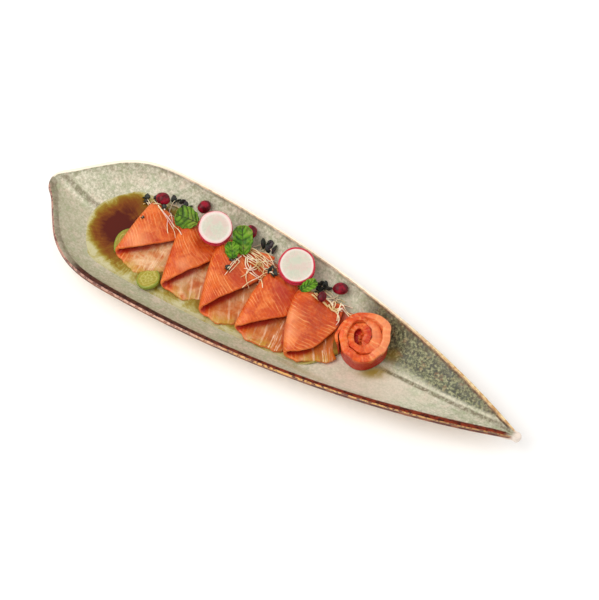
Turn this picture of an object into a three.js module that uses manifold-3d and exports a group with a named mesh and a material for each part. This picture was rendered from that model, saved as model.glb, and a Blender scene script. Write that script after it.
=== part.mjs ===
// Thin folded slices of salmon in a citrus soy sauce, on a long stoneware dish shaped like a leaf.
// Millimetres, +Z up. The origin is under the middle of the dish, on the surface that it stands on.
// +X runs along the leaf to its pointed tip, and +Y to the side where the garnish lies.

import * as THREE from 'three';
import { mergeVertices } from 'three/addons/utils/BufferGeometryUtils.js';
import Module from 'manifold-3d';

const wasm = await Module();
wasm.setup();

const { clamp, lerp, smoothstep, degToRad } = THREE.MathUtils;

// Clearance between two pieces that touch, and the shortest edge worth keeping.
const GAP = 0.35;
const MERGE = 1e-3;

// Dish: outline
const HALF_LENGTH = 190;
const HALF_BREADTH = 54;
const WIDEST_X = -95;
const BLADE_POWER = 0.92;
const SHOULDER_LENGTH = 91;
const SHOULDER_POWER = 3.5;
const STEM = { at: -178.5, halfLength: 11.5, halfBreadth: 12.5, shift: 3, shiftFrom: 160, shiftTo: 185 };
const TIP_RADIUS = 3;
const BLEND_POWER = 3;
const NARROW = { breadth: 8, least: 0.5 };

// Dish: section
const FLOOR_Z = 6;
const RIM_Z = 22;
const RIM_RISE = 1.5;
const LIP = 3.3;
const LIP_ROUND = 0.7;
const LIP_RINGS = [
  { inward: 1.8, drop: 0 },
  { inward: 0.6, drop: 0.4 },
  { inward: 0, drop: 2.1 },
  { inward: 0.8, drop: 4.2 },
];
const WALL = 7.2;
const BELLY_POWER = 3.2;
const VEIN_POWER = 1.25;
const TIP_VEIN = { from: 30, length: 160, power: 1.6, creaseTo: 140 };
const STEM_VEIN = { from: -133, length: 55, power: 1.4, creaseTo: -178 };
const SPINE = { left: -176, right: 178 };
const SPOKES = 64;
const FLOOR_RINGS = [0, 0.3, 0.52, 0.68, 0.8, 0.91, 1];
const UNDER_RINGS = [1, 0.8, 0.6, 0.35, 0];

// Sauce level, the height above all the food, and a slab that covers the whole dish
const SAUCE_Z = 10;
const SKY = 70;
const SLAB = { x: 500, y: 200, z: 20 };

// Salmon: thickness of a slice, and how a slice folds. Its lower layer lies on the dish, turns over
// at a fold that climbs from the near corner to a peak, and comes back as a three cornered flap.
const SLICE_THICK = 2.6;
const SLICE_COLUMNS = 16;
const SLICE_ROWS = 7;
const LOWER_END = 0.36;
const FOLD_END = 0.6;
const FOLD_HALF = 3.6;
const FLAP_EDGE_GAP = 4.3;
const LOW_Z = 8.9;
const ON_FLOOR = 0.2;
const BULGE = { depth: 2.6, breadth: 24 };
const RETREAT = { depth: 9, from: 24, to: 44, lower: 0.2, flap: 0.15 };
const SINK = { from: 0.15, to: 0.55 };
const FALL_TO = 1.08;

// Each slice: its near corner and its peak, its length along the fold, how far the fold bows out,
// the breadth of the lower layer and of the flap, where the flap's free edge starts and how it
// slopes and curls, the height at its left side, and the height inside the fold at both places.
// Where the lower layer's near edge is drawn back: by how much, and between which distances.
const SLICES = [
  {
    near: [-121.5, -21.2], peak: [-119.5, 19.6], length: 47, bow: 0.5, lower: 43, flap: 35,
    tip: 4, slope: 0.86, curl: 0.009, left: 9.8, open: 5.6, high: 12.4, draw: [4, 16, 28],
  },
  {
    near: [-78.8, -27], peak: [-89.5, 14.2], length: 56, bow: 1, lower: 45, flap: 35,
    tip: 3, slope: 1.05, curl: 0.004, left: 11.9, open: 6.8, high: 11.6,
  },
  {
    near: [-45.1, -30.6], peak: [-57.5, 7.1], length: 60, bow: 1.5, lower: 44, flap: 40,
    tip: 4.5, slope: 0.9, curl: 0.004, left: 11.9, open: 6.4, high: 12,
  },
  {
    near: [-18.2, -27.7], peak: [-18.9, 12.7], length: 52, bow: 2, lower: 45, flap: 39,
    tip: 2, slope: 0.85, curl: 0.008, left: 11.9, open: 5.6, high: 12.8,
  },
  {
    near: [22.2, -27.8], peak: [6.6, 11.9], length: 50, bow: 3, lower: 44, flap: 34,
    tip: 2.5, slope: 0.05, curl: 0.027, left: 11.9, open: 5.6, high: 12.8, draw: [4, 3, 16],
  },
];

// Salmon rose: one long slice rolled up on edge
const ROSE = {
  x: 61.9, y: 7.9, inner: 4.6, outer: 18.1, pitch: 4.9, thick: 4.3, endThick: 1.2, thinFrom: 0.82,
  base: 6, top: 26.5, flare: 2.2, from: -46, wave: 1.2, waveRate: 1.5, sunk: 2.5,
};
const ROSE_COLUMNS = 42;
const ROSE_ROWS = 3;
const ROSE_SPACE_SIDES = 40;

// Garnish
const REST = GAP * 1.3;
const FACING = 32;
const DISC_SIDES = 20;
const DISC_SOFT = 0.3;
const RADISH_THICK = 2;
const RADISHES = [
  { name: 'radish_1', x: -67.6, y: 24.6, radius: 11.6, tilt: 24, turn: 40 },
  { name: 'radish_2', x: -4.2, y: 29, radius: 12.6, tilt: 24, turn: 32 },
];
const LEAF_THICK = 0.9;
const LEAF_COLUMNS = 7;
const LEAF_ROWS = 4;
const LEAF_FORM = { power: 0.75, lead: 0.18, stalk: 0.4, wave: 0.5, waveRate: 0.9, wavePhase: 1 };
const LEAVES = [
  { name: 'sorrel_1', x: -89.6, y: 22.4, length: 16, breadth: 15, turn: 190, tilt: 18, cup: 1 },
  { name: 'sorrel_2', x: -48.2, y: 29.3, length: 20, breadth: 13, turn: 125, tilt: 22, cup: 1.2 },
  { name: 'sorrel_3', x: -49.8, y: 18, length: 12, breadth: 9, turn: 125, tilt: 12, cup: 0.7 },
  { name: 'sorrel_4', x: 9.7, y: 21.8, length: 12.6, breadth: 7, turn: 65, tilt: 15, cup: 0.6 },
];
const BERRY_FORM = { long: 1.1, broad: 0.92, high: 0.85, turn: 70, around: 10, up: 6 };
const BERRIES = [
  { x: -114, y: 29.2, radius: 5 },
  { x: -87, y: 40, radius: 4.9 },
  { x: -48.3, y: 40, radius: 4.7 },
  { x: 28, y: 33.5, radius: 5 },
  { x: 21.5, y: 20.5, radius: 3.6 },
];
const CUCUMBER_THICK = 3;
const CUCUMBERS = [
  { x: -113.5, y: -8.6, radius: 14.5, tilt: 8, turn: 90 },
  { x: -90, y: -26, radius: 8.5, tilt: 14, turn: 270 },
];

// Sprouts: thin pale stems that rise from a small tangle, some with a dark seed leaf at the end.
// A stem runs from one point to another and bends sideways by so much.
const STEM_RADIUS = 0.75;
const STEM_SIDES = 4;
const STEM_STEP = 4.6;
const STEM_CLEAR = 1.5;
const SEED_LEAF = { long: 2.7, broad: 2.1, high: 1.3, rise: 0.5, around: 7, up: 4 };
const CORE = { rise: 0.6, around: 8, up: 6 };
const SPROUTS = [
  {
    name: 'sprouts_left',
    core: { x: -101, y: 13, long: 4.5, broad: 2.6, high: 1.6, turn: -40 },
    stems: [
      { from: [-101, 13], to: [-121, 16], bend: -5 },
      { from: [-101, 13], to: [-77, 9], bend: 5 },
      { from: [-100, 12], to: [-86, 2], bend: 2 },
      { from: [-102, 14], to: [-108, 26], bend: 3 },
      { from: [-102, 14], to: [-129, 28], bend: -8, seed: true },
      { from: [-101, 14], to: [-109, 37], bend: -4, seed: true },
      { from: [-100, 14], to: [-100, 38], bend: -3, seed: true },
      { from: [-103, 13], to: [-114, 14], bend: 2, seed: true },
    ],
  },
  {
    name: 'sprouts_mid',
    core: { x: -28, y: 25, long: 9, broad: 2.8, high: 1.7, turn: -14 },
    stems: [
      { from: [-37, 27], to: [-15, 19], bend: -1.5 },
      { from: [-36, 29], to: [-17, 25], bend: -2 },
      { from: [-33, 24], to: [-18, 16], bend: 1, seed: true },
      { from: [-33, 25], to: [-24, 13], bend: 6 },
      { from: [-34, 25], to: [-38, 3], bend: 5, seed: true },
      { from: [-35, 27], to: [-35, 37], bend: -2, seed: true },
      { from: [-32, 27], to: [-26, 37], bend: 3, seed: true },
      { from: [-22, 23], to: [-28, 1], bend: -6 },
      { from: [-28, 25], to: [-12, 16], bend: 4 },
    ],
  },
  {
    name: 'sprouts_right',
    core: { x: 29, y: 19.5, long: 4, broad: 2.2, high: 1.5, turn: 20 },
    stems: [
      { from: [29, 20], to: [36, 31], bend: 2 },
      { from: [29, 19], to: [45, 28], bend: -2 },
      { from: [30, 19], to: [39, 19], bend: -2 },
      { from: [28, 20], to: [15, 28], bend: 4, seed: true },
      { from: [28, 20], to: [26, 33], bend: 1, seed: true },
    ],
  },
];

const COLOURS = {
  dish: 0xa9ab8c, sauce: 0x6b3a1c, salmon: 0xe36a35, rose: 0xe25a2a, radish: 0xe8dcd2,
  sorrel: 0x4f9a3a, berry: 0x8e1a3a, cucumber: 0xa9b548, sprouts: 0xe8d2a4,
};

// Solids

function volumeOf(positions, index) {
  const a = new THREE.Vector3();
  const b = new THREE.Vector3();
  const c = new THREE.Vector3();
  let volume = 0;
  for (let i = 0; i < index.length; i += 3) {
    a.fromArray(positions, index[i] * 3);
    b.fromArray(positions, index[i + 1] * 3);
    c.fromArray(positions, index[i + 2] * 3);
    volume += a.dot(b.cross(c)) / 6;
  }
  return volume;
}

// One closed geometry with shared vertices, no collapsed triangles and its faces pointing out.
function closed(points, triangles) {
  const raw = new THREE.BufferGeometry();
  const numbers = points.flatMap((p) => [p.x, p.y, p.z]);
  raw.setAttribute('position', new THREE.Float32BufferAttribute(numbers, 3));
  raw.setIndex(triangles.flat());
  const merged = mergeVertices(raw, MERGE);
  const old = merged.index.array;
  const index = [];
  for (let i = 0; i < old.length; i += 3) {
    const [a, b, c] = [old[i], old[i + 1], old[i + 2]];
    if (a !== b && b !== c && c !== a) index.push(a, b, c);
  }
  if (volumeOf(merged.attributes.position.array, index) < 0) index.reverse();
  merged.setIndex(index);
  return merged;
}

function toSolid(geometry) {
  const vertProperties = new Float32Array(geometry.attributes.position.array);
  const triVerts = new Uint32Array(geometry.index.array);
  return new wasm.Manifold(new wasm.Mesh({ numProp: 3, vertProperties, triVerts }));
}

function toGeometry(solid) {
  const mesh = solid.getMesh();
  const geometry = new THREE.BufferGeometry();
  geometry.setAttribute('position', new THREE.BufferAttribute(Float32Array.from(mesh.vertProperties), 3));
  geometry.setIndex(Array.from(mesh.triVerts));
  return geometry;
}

// The biggest piece of a cut solid. Loose scrap and sealed hollows are other pieces, and go.
function largest(solid) {
  const pieces = solid.decompose();
  return pieces.reduce((best, piece) => (piece.volume() > best.volume() ? piece : best));
}

function cutAll(solid, cutters) {
  return cutters.reduce((rest, cutter) => rest.subtract(cutter), solid);
}

// A closed skin through a stack of rings. The first and the last ring fall in on themselves.
function ringSkin(rings, count) {
  const points = [];
  const triangles = [];
  for (const ring of rings) {
    for (let i = 0; i < count; i += 1) points.push(ring(i / count));
  }
  for (let k = 0; k + 1 < rings.length; k += 1) {
    for (let i = 0; i < count; i += 1) {
      const next = (i + 1) % count;
      const [a, b] = [k * count + i, k * count + next];
      triangles.push([a, b, b + count], [a, b + count, a + count]);
    }
  }
  return closed(points, triangles);
}

// A closed sheet about a middle surface. Both faces are split into triangles alike. It can be grown
// all round, which gives the space that it takes up with its clearance.
function sheet(columns, rows, middle, thickness, grow = 0) {
  const step = 1e-3;
  const faces = [[], []];
  for (let i = 0; i <= columns; i += 1) {
    for (let j = 0; j <= rows; j += 1) {
      const [s, t] = [i / columns, j / rows];
      const [s0, s1] = [Math.max(0, s - step), Math.min(1, s + step)];
      const [t0, t1] = [Math.max(0, t - step), Math.min(1, t + step)];
      const along = middle(s1, t).sub(middle(s0, t)).normalize();
      const across = middle(s, t1).sub(middle(s, t0)).normalize();
      const normal = along.clone().cross(across).normalize();
      const centre = middle(s, t);
      if (i === 0) centre.addScaledVector(along, -grow);
      if (i === columns) centre.addScaledVector(along, grow);
      if (j === 0) centre.addScaledVector(across, -grow);
      if (j === rows) centre.addScaledVector(across, grow);
      const half = thickness(s, t) / 2 + grow;
      faces[0].push(centre.clone().addScaledVector(normal, half));
      faces[1].push(centre.clone().addScaledVector(normal, -half));
    }
  }
  const back = faces[0].length;
  const at = (i, j) => i * (rows + 1) + j;
  const triangles = [];
  const wall = (a, b) => triangles.push([a, b, b + back], [a, b + back, a + back]);
  for (let i = 0; i < columns; i += 1) {
    for (let j = 0; j < rows; j += 1) {
      const [a, b, c, d] = [at(i, j), at(i + 1, j), at(i + 1, j + 1), at(i, j + 1)];
      triangles.push([a, b, c], [a, c, d]);
      triangles.push([a + back, c + back, b + back], [a + back, d + back, c + back]);
    }
  }
  for (let i = 0; i < columns; i += 1) {
    wall(at(i + 1, 0), at(i, 0));
    wall(at(i, rows), at(i + 1, rows));
  }
  for (let j = 0; j < rows; j += 1) {
    wall(at(0, j), at(0, j + 1));
    wall(at(columns, j + 1), at(columns, j));
  }
  return closed([...faces[0], ...faces[1]], triangles);
}

// An ellipsoid with its own outline, turned about the vertical.
function lump({ x, y, z, long, broad, high, turn = 0, around, up }) {
  const ball = new THREE.SphereGeometry(1, around, up);
  ball.scale(long, broad, high);
  ball.rotateZ(degToRad(turn));
  ball.translate(x, y, z);
  return bare(ball);
}

// A ready-made geometry without its seams.
function bare(geometry) {
  const points = [];
  const position = geometry.attributes.position;
  for (let i = 0; i < position.count; i += 1) {
    points.push(new THREE.Vector3().fromBufferAttribute(position, i));
  }
  const order = geometry.index ? Array.from(geometry.index.array) : points.map((_, i) => i);
  const triangles = [];
  for (let i = 0; i < order.length; i += 3) triangles.push(order.slice(i, i + 3));
  return closed(points, triangles);
}

// A slab over the whole dish, up to a given height.
function slab(top) {
  const box = new THREE.BoxGeometry(SLAB.x, SLAB.y, SLAB.z);
  box.translate(0, 0, top - SLAB.z / 2);
  return toSolid(bare(box));
}

// Dish

function ovalHalf(x, at, halfLength, halfBreadth) {
  const s = (x - at) / halfLength;
  return Math.abs(s) < 1 ? halfBreadth * Math.sqrt(1 - s * s) : 0;
}

function bladeHalf(x) {
  if (x >= WIDEST_X) {
    const s = Math.min(1, (x - WIDEST_X) / (HALF_LENGTH - WIDEST_X));
    return HALF_BREADTH * (1 - s * s) ** BLADE_POWER;
  }
  const s = Math.min(1, (WIDEST_X - x) / SHOULDER_LENGTH);
  return HALF_BREADTH * (1 - s ** SHOULDER_POWER);
}

// Half the breadth of the leaf at a place along it: the blade, run into its stem and its round tip.
function halfBreadth(x) {
  const stem = ovalHalf(x, STEM.at, STEM.halfLength, STEM.halfBreadth);
  const tip = ovalHalf(x, HALF_LENGTH - TIP_RADIUS, TIP_RADIUS, TIP_RADIUS);
  return (bladeHalf(x) ** BLEND_POWER + stem ** BLEND_POWER + tip ** BLEND_POWER) ** (1 / BLEND_POWER);
}

// How far the middle line of the leaf is pushed over at the stem.
function midline(x) {
  return STEM.shift * smoothstep(-x, STEM.shiftFrom, STEM.shiftTo);
}

function outline(turn) {
  const angle = turn * 2 * Math.PI;
  const x = HALF_LENGTH * Math.cos(angle);
  const side = Math.abs(Math.sin(angle)) < MERGE ? 0 : Math.sign(Math.sin(angle));
  return new THREE.Vector2(x, midline(x) + side * halfBreadth(x));
}

// The outline moved in by so much, and by less where the leaf is narrow.
function inset(turn, amount) {
  const along = outline(turn + MERGE).sub(outline(turn - MERGE)).normalize();
  const inward = new THREE.Vector2(-along.y, along.x);
  const edge = outline(turn);
  const narrow = clamp(halfBreadth(edge.x) / NARROW.breadth, NARROW.least, 1);
  return edge.addScaledVector(inward, amount * narrow);
}

function rimHeight(x) {
  return RIM_Z + RIM_RISE * (1 - (x / HALF_LENGTH) ** 2);
}

// Height of the dish's middle line, which climbs as a vein towards both ends.
function spineHeight(x) {
  const tip = clamp((x - TIP_VEIN.from) / TIP_VEIN.length, 0, 1) ** TIP_VEIN.power;
  const stem = clamp((STEM_VEIN.from - x) / STEM_VEIN.length, 0, 1) ** STEM_VEIN.power;
  return lerp(FLOOR_Z, RIM_Z - LIP_ROUND, Math.max(tip, stem));
}

// A round belly along the middle, and a crease along the vein at both ends.
function bellyPower(x) {
  const crease = Math.max(
    smoothstep(x, TIP_VEIN.from, TIP_VEIN.creaseTo),
    smoothstep(-x, -STEM_VEIN.from, -STEM_VEIN.creaseTo),
  );
  return lerp(BELLY_POWER, VEIN_POWER, crease);
}

function bowlPoint(turn, share, drop) {
  const edge = inset(turn, LIP);
  const x = clamp(outline(turn).x, SPINE.left, SPINE.right);
  const point = new THREE.Vector2(x, midline(x)).lerp(edge, share);
  const rise = share ** bellyPower(x);
  const inside = lerp(spineHeight(x), rimHeight(x) - LIP_ROUND, rise);
  const z = drop > 0 ? Math.max(0, inside - drop) : inside - drop;
  return new THREE.Vector3(point.x, point.y, z);
}

function lipPoint(turn, inward, drop) {
  const point = inset(turn, inward);
  return new THREE.Vector3(point.x, point.y, rimHeight(point.x) - drop);
}

function dishGeometry() {
  const inside = FLOOR_RINGS.map((share) => (turn) => bowlPoint(turn, share, 0));
  const lip = LIP_RINGS.map(({ inward, drop }) => (turn) => lipPoint(turn, inward, drop));
  const outside = UNDER_RINGS.map((share) => (turn) => bowlPoint(turn, share, WALL));
  return ringSkin([...inside, ...lip, ...outside], SPOKES);
}

// The open space over the inside of the dish, with the clearance taken off, up to a given height.
function bowlSpace(top) {
  const inside = FLOOR_RINGS.map((share) => (turn) => bowlPoint(turn, share, -GAP));
  const roof = [1, 0].map((share) => (turn) => bowlPoint(turn, share, 0).setZ(top));
  return toSolid(ringSkin([...inside, ...roof], SPOKES));
}

// Height of the inside of the dish at a point, near enough to lay food on it.
function floorHeight(x, y) {
  const reach = Math.max(1, halfBreadth(x) - LIP);
  const share = Math.min(1, Math.abs(y - midline(x)) / reach);
  return lerp(spineHeight(x), rimHeight(x) - LIP_ROUND, share ** bellyPower(x));
}

// Salmon slices

// Height from the lower layer to the flap at the fold: it climbs to the peak and drops behind it.
function foldHeight(slice, run, peakRun) {
  const climb = Math.sin((Math.PI / 2) * clamp(run / peakRun, 0, 1));
  const fall = smoothstep(run, peakRun, slice.length * FALL_TO);
  return lerp(lerp(slice.open, slice.high, climb), slice.open, fall);
}

// Where the lower layer begins on the near side, at a distance across from the fold.
function lowerNear(slice, across) {
  const [depth, from, to] = slice.draw ?? [0, 0, 1];
  const bulge = BULGE.depth * Math.sin(Math.PI * clamp(across / BULGE.breadth, 0, 1));
  return RETREAT.depth * smoothstep(across, RETREAT.from, RETREAT.to) + depth * smoothstep(across, from, to) - bulge;
}

// Where the flap begins: its free edge runs back from the near corner to the peak.
function flapNear(slice, across) {
  return slice.tip + slice.slope * across + slice.curl * across ** 2;
}

function sliceMiddle(slice) {
  const near = new THREE.Vector2(...slice.near);
  const alongFold = new THREE.Vector2(...slice.peak).sub(near);
  const peakRun = alongFold.length();
  alongFold.normalize();
  const acrossFold = new THREE.Vector2(alongFold.y, -alongFold.x);

  const lowerHeight = (across, run) => {
    const place = near.clone().addScaledVector(alongFold, run).addScaledVector(acrossFold, across);
    const onFloor = floorHeight(place.x, place.y) + GAP + SLICE_THICK / 2 + ON_FLOOR;
    const sunk = smoothstep(across, slice.lower * SINK.from, slice.lower * SINK.to);
    return Math.max(lerp(slice.left, LOW_Z, sunk), onFloor);
  };

  return (s, t) => {
    let across = FOLD_HALF;
    let begin = 0;
    let end = slice.length;
    let turn = 0;
    if (s < LOWER_END) {
      across = lerp(slice.lower, FOLD_HALF, s / LOWER_END);
      begin = lowerNear(slice, across - FOLD_HALF);
      end = slice.length - RETREAT.lower * across;
    } else if (s < FOLD_END) {
      turn = (s - LOWER_END) / (FOLD_END - LOWER_END);
      across = FOLD_HALF * (1 - Math.sin(Math.PI * turn));
      begin = slice.tip * turn;
    } else {
      turn = 1;
      across = lerp(FOLD_HALF, slice.flap, (s - FOLD_END) / (1 - FOLD_END));
      begin = flapNear(slice, across - FOLD_HALF);
      end = slice.length - RETREAT.flap * across;
    }
    const run = lerp(begin, end, t);
    const fold = foldHeight(slice, run, peakRun);
    const settle = smoothstep(across, FOLD_HALF, slice.flap);
    const open = lerp(fold, Math.min(fold, FLAP_EDGE_GAP), settle);
    const lift = (open * (1 - Math.cos(Math.PI * turn))) / 2;
    const bowed = across - slice.bow * Math.sin(Math.PI * clamp(run / slice.length, 0, 1));
    const place = near.clone().addScaledVector(alongFold, run).addScaledVector(acrossFold, bowed);
    return new THREE.Vector3(place.x, place.y, lowerHeight(across, run) + lift);
  };
}

function sliceGeometry(slice, grow) {
  return sheet(SLICE_COLUMNS, SLICE_ROWS, sliceMiddle(slice), () => SLICE_THICK, grow);
}

// Salmon rose

// Towards its end the slice thins out and lies close to the turn inside it.
function roseThickness(s) {
  return lerp(ROSE.thick, ROSE.endThick, smoothstep(s, ROSE.thinFrom, 1));
}

function roseRadius(s) {
  return lerp(ROSE.inner, ROSE.outer, s) - (ROSE.thick - roseThickness(s)) / 2;
}

function roseMiddle(s, t) {
  const turns = (ROSE.outer - ROSE.inner) / ROSE.pitch;
  const angle = s * turns * 2 * Math.PI + degToRad(ROSE.from);
  const top = ROSE.top + ROSE.wave * Math.sin(angle * ROSE.waveRate) - ROSE.sunk * (1 - s);
  const radius = roseRadius(s) + ROSE.flare * t * t * s;
  const [x, y] = [radius * Math.cos(angle), radius * Math.sin(angle)];
  return new THREE.Vector3(ROSE.x + x, ROSE.y + y, lerp(ROSE.base, top, t));
}

function roseGeometry() {
  return sheet(ROSE_COLUMNS, ROSE_ROWS, roseMiddle, roseThickness);
}

// The space that the rose takes up, as one round solid.
function roseSpace() {
  const reach = ROSE.outer + ROSE.thick / 2 + GAP;
  const top = ROSE.top + ROSE.wave + GAP;
  const profile = [
    new THREE.Vector2(0, 0),
    new THREE.Vector2(reach, 0),
    new THREE.Vector2(reach, top / 2),
    new THREE.Vector2(reach + ROSE.flare, top),
    new THREE.Vector2(0, top),
  ];
  const lathe = new THREE.LatheGeometry(profile, ROSE_SPACE_SIDES);
  lathe.rotateX(Math.PI / 2);
  lathe.translate(ROSE.x, ROSE.y, 0);
  return toSolid(bare(lathe));
}

// Garnish: each piece is made about its own middle, turned, and set down on what lies under it.

const caster = new THREE.Raycaster();
const DOWN = new THREE.Vector3(0, 0, -1);

function heightAt(x, y, meshes) {
  caster.set(new THREE.Vector3(x, y, SKY), DOWN);
  const hits = caster.intersectObjects(meshes, false);
  return hits.length > 0 ? hits[0].point.z : 0;
}

// How far a geometry has to rise so that it just clears what lies under it.
function restingLift(geometry, meshes) {
  const position = geometry.attributes.position;
  let lift = -SKY;
  for (let i = 0; i < position.count; i += 1) {
    const under = heightAt(position.getX(i), position.getY(i), meshes);
    lift = Math.max(lift, under + REST - position.getZ(i));
  }
  return lift;
}

// A round flat slice with a soft edge.
function discGeometry({ x, y, radius, tilt, turn }, thick, grow = 0) {
  const half = thick / 2 + grow;
  const reach = radius + grow;
  const soft = thick * DISC_SOFT;
  const profile = [
    new THREE.Vector2(0, -half),
    new THREE.Vector2(reach - soft, -half),
    new THREE.Vector2(reach, -half + soft),
    new THREE.Vector2(reach, half - soft),
    new THREE.Vector2(reach - soft, half),
    new THREE.Vector2(0, half),
  ];
  const lathe = new THREE.LatheGeometry(profile, DISC_SIDES);
  lathe.rotateX(Math.PI / 2);
  return tilted(bare(lathe), x, y, tilt, turn);
}

// Tips a flat piece up so that it faces down the slope in the direction given by turn.
function tilted(geometry, x, y, tilt, turn) {
  const axis = new THREE.Vector3(Math.cos(degToRad(turn)), Math.sin(degToRad(turn)), 0);
  geometry.applyMatrix4(new THREE.Matrix4().makeRotationAxis(axis, degToRad(tilt)));
  geometry.translate(x, y, 0);
  return geometry;
}

// A leaf: an oval sheet, cupped about its midrib and wavy at the edge.
function leafGeometry({ x, y, length, breadth, turn, tilt, cup }, grow = 0) {
  const middle = (s, t) => {
    const angle = Math.PI * s;
    const along = -Math.cos(angle) * length / 2;
    const lead = 1 - LEAF_FORM.lead * Math.cos(angle);
    const half = (breadth / 2) * Math.sin(angle) ** LEAF_FORM.power * lead + LEAF_FORM.stalk;
    const side = lerp(-half, half, t);
    const wave = LEAF_FORM.wave * Math.sin(along * LEAF_FORM.waveRate + LEAF_FORM.wavePhase);
    return new THREE.Vector3(along, side, (cup + wave) * (side / half) ** 2);
  };
  const leaf = sheet(LEAF_COLUMNS, LEAF_ROWS, middle, () => LEAF_THICK, grow);
  leaf.rotateZ(degToRad(turn));
  return tilted(leaf, x, y, tilt, FACING);
}

// The line of a stem, laid over the food. The food is felt at twice as many places as the line has.
function stemPath({ from, to, bend }, meshes) {
  const start = new THREE.Vector2(...from);
  const end = new THREE.Vector2(...to);
  const side = new THREE.Vector2(end.y - start.y, start.x - end.x).normalize();
  const steps = Math.ceil(start.distanceTo(end) / STEM_STEP);
  const flat = [];
  for (let i = 0; i <= 2 * steps; i += 1) {
    const share = i / (2 * steps);
    const bowed = bend * Math.sin(Math.PI * share);
    flat.push(start.clone().lerp(end, share).addScaledVector(side, bowed));
  }
  const under = flat.map((p) => heightAt(p.x, p.y, meshes) + GAP + STEM_RADIUS * STEM_CLEAR);
  const raised = flat.map((p, i) => {
    const around = under.slice(Math.max(0, i - 2), i + 3);
    return new THREE.Vector3(p.x, p.y, Math.max(...around));
  });
  return raised.filter((_, i) => i % 2 === 0);
}

function stemSection() {
  const section = new THREE.Shape();
  for (let k = 0; k < STEM_SIDES; k += 1) {
    const angle = (k / STEM_SIDES) * 2 * Math.PI;
    const [x, y] = [STEM_RADIUS * Math.cos(angle), STEM_RADIUS * Math.sin(angle)];
    if (k === 0) section.moveTo(x, y);
    else section.lineTo(x, y);
  }
  section.closePath();
  return section;
}

function stemSolid(stem, meshes) {
  const points = stemPath(stem, meshes);
  const extrudePath = new THREE.CatmullRomCurve3(points);
  const steps = points.length - 1;
  const tube = new THREE.ExtrudeGeometry(stemSection(), { extrudePath, steps, curveSegments: 1 });
  const solid = toSolid(bare(tube));
  if (!stem.seed) return solid;
  const end = points[steps];
  return solid.add(toSolid(lump({ ...SEED_LEAF, x: end.x, y: end.y, z: end.z + SEED_LEAF.rise })));
}

function sproutSolid({ core, stems }, meshes) {
  const z = heightAt(core.x, core.y, meshes) + GAP + core.high * CORE.rise;
  const tangle = toSolid(lump({ ...CORE, ...core, z }));
  return stems.reduce((rest, stem) => rest.add(stemSolid(stem, meshes)), tangle);
}

// Assembly

const dishSet = new THREE.Group();

function addMesh(name, geometry, color, roughness) {
  const material = new THREE.MeshStandardMaterial({ color, roughness, metalness: 0 });
  const mesh = new THREE.Mesh(geometry, material);
  mesh.name = name;
  mesh.updateMatrixWorld();
  dishSet.add(mesh);
  return mesh;
}

const dish = addMesh('dish', dishGeometry(), COLOURS.dish, 0.35);
const space = bowlSpace(SKY);

const grownRose = roseSpace();
const grownSlices = SLICES.map((slice) => toSolid(sliceGeometry(slice, GAP)));
const food = [];
SLICES.forEach((slice, i) => {
  const over = [...grownSlices.slice(i + 1, i + 3), ...(i >= 3 ? [grownRose] : [])];
  const solid = largest(cutAll(toSolid(sliceGeometry(slice, 0)).intersect(space), over));
  food.push(addMesh(`salmon_slice_${i + 1}`, toGeometry(solid), COLOURS.salmon, 0.3));
});
const rose = largest(toSolid(roseGeometry()).intersect(space));
food.push(addMesh('salmon_rose', toGeometry(rose), COLOURS.rose, 0.3));

const grownCucumbers = CUCUMBERS.map((cucumber, i) => {
  const raw = discGeometry(cucumber, CUCUMBER_THICK);
  const lift = restingLift(raw, [dish]);
  raw.translate(0, 0, lift);
  const grown = discGeometry(cucumber, CUCUMBER_THICK, GAP);
  grown.translate(0, 0, lift);
  const solid = largest(cutAll(toSolid(raw).intersect(space), grownSlices));
  addMesh(`cucumber_${i + 1}`, toGeometry(solid), COLOURS.cucumber, 0.4);
  return toSolid(grown);
});

const pool = space.intersect(slab(SAUCE_Z));
const sauce = largest(cutAll(pool, [...grownSlices, grownRose, ...grownCucumbers]));
const sauceMesh = addMesh('ponzu_sauce', toGeometry(sauce), COLOURS.sauce, 0.1);

const ground = [dish, sauceMesh, ...food];
const toppings = [];

// Sets a garnish down on the ground and on the toppings that are already there.
function placeTopping(name, make, color) {
  const geometry = make(0);
  const lift = restingLift(geometry, [...ground, ...toppings.map((topping) => topping.mesh)]);
  geometry.translate(0, 0, lift);
  const grown = make(GAP).translate(0, 0, lift);
  toppings.push({ mesh: addMesh(name, geometry, color, 0.35), grown: toSolid(grown) });
}

function berryGeometry({ x, y, radius }, i, grow) {
  const { long, broad, high, turn, around, up } = BERRY_FORM;
  return lump({
    x,
    y,
    z: 0,
    long: radius * long + grow,
    broad: radius * broad + grow,
    high: radius * high + grow,
    turn: turn * i,
    around,
    up,
  });
}

BERRIES.forEach((berry, i) => {
  placeTopping(`pomegranate_${i + 1}`, (grow) => berryGeometry(berry, i, grow), COLOURS.berry);
});
for (const radish of RADISHES) {
  const make = (grow) => discGeometry(radish, RADISH_THICK, grow);
  placeTopping(`${radish.name}_under`, make, COLOURS.radish);
  placeTopping(radish.name, make, COLOURS.radish);
}
for (const leaf of LEAVES) {
  placeTopping(leaf.name, (grow) => leafGeometry(leaf, grow), COLOURS.sorrel);
}

const air = space.subtract(slab(SAUCE_Z + GAP));
const grownToppings = toppings.map((topping) => topping.grown);
for (const sprout of SPROUTS) {
  const raw = sproutSolid(sprout, ground).intersect(air);
  const solid = largest(cutAll(raw, [...grownSlices, grownRose, ...grownToppings]));
  addMesh(sprout.name, toGeometry(solid), COLOURS.sprouts, 0.5);
}

export default dishSet;
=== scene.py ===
"""Slices of salmon in a citrus soy sauce on a long stoneware dish shaped like a leaf.

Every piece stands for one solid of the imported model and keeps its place. Lengths in the functions
below are millimetres, with the dish's pointed tip at +X and the garnish at +Y.
"""

import math

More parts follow.
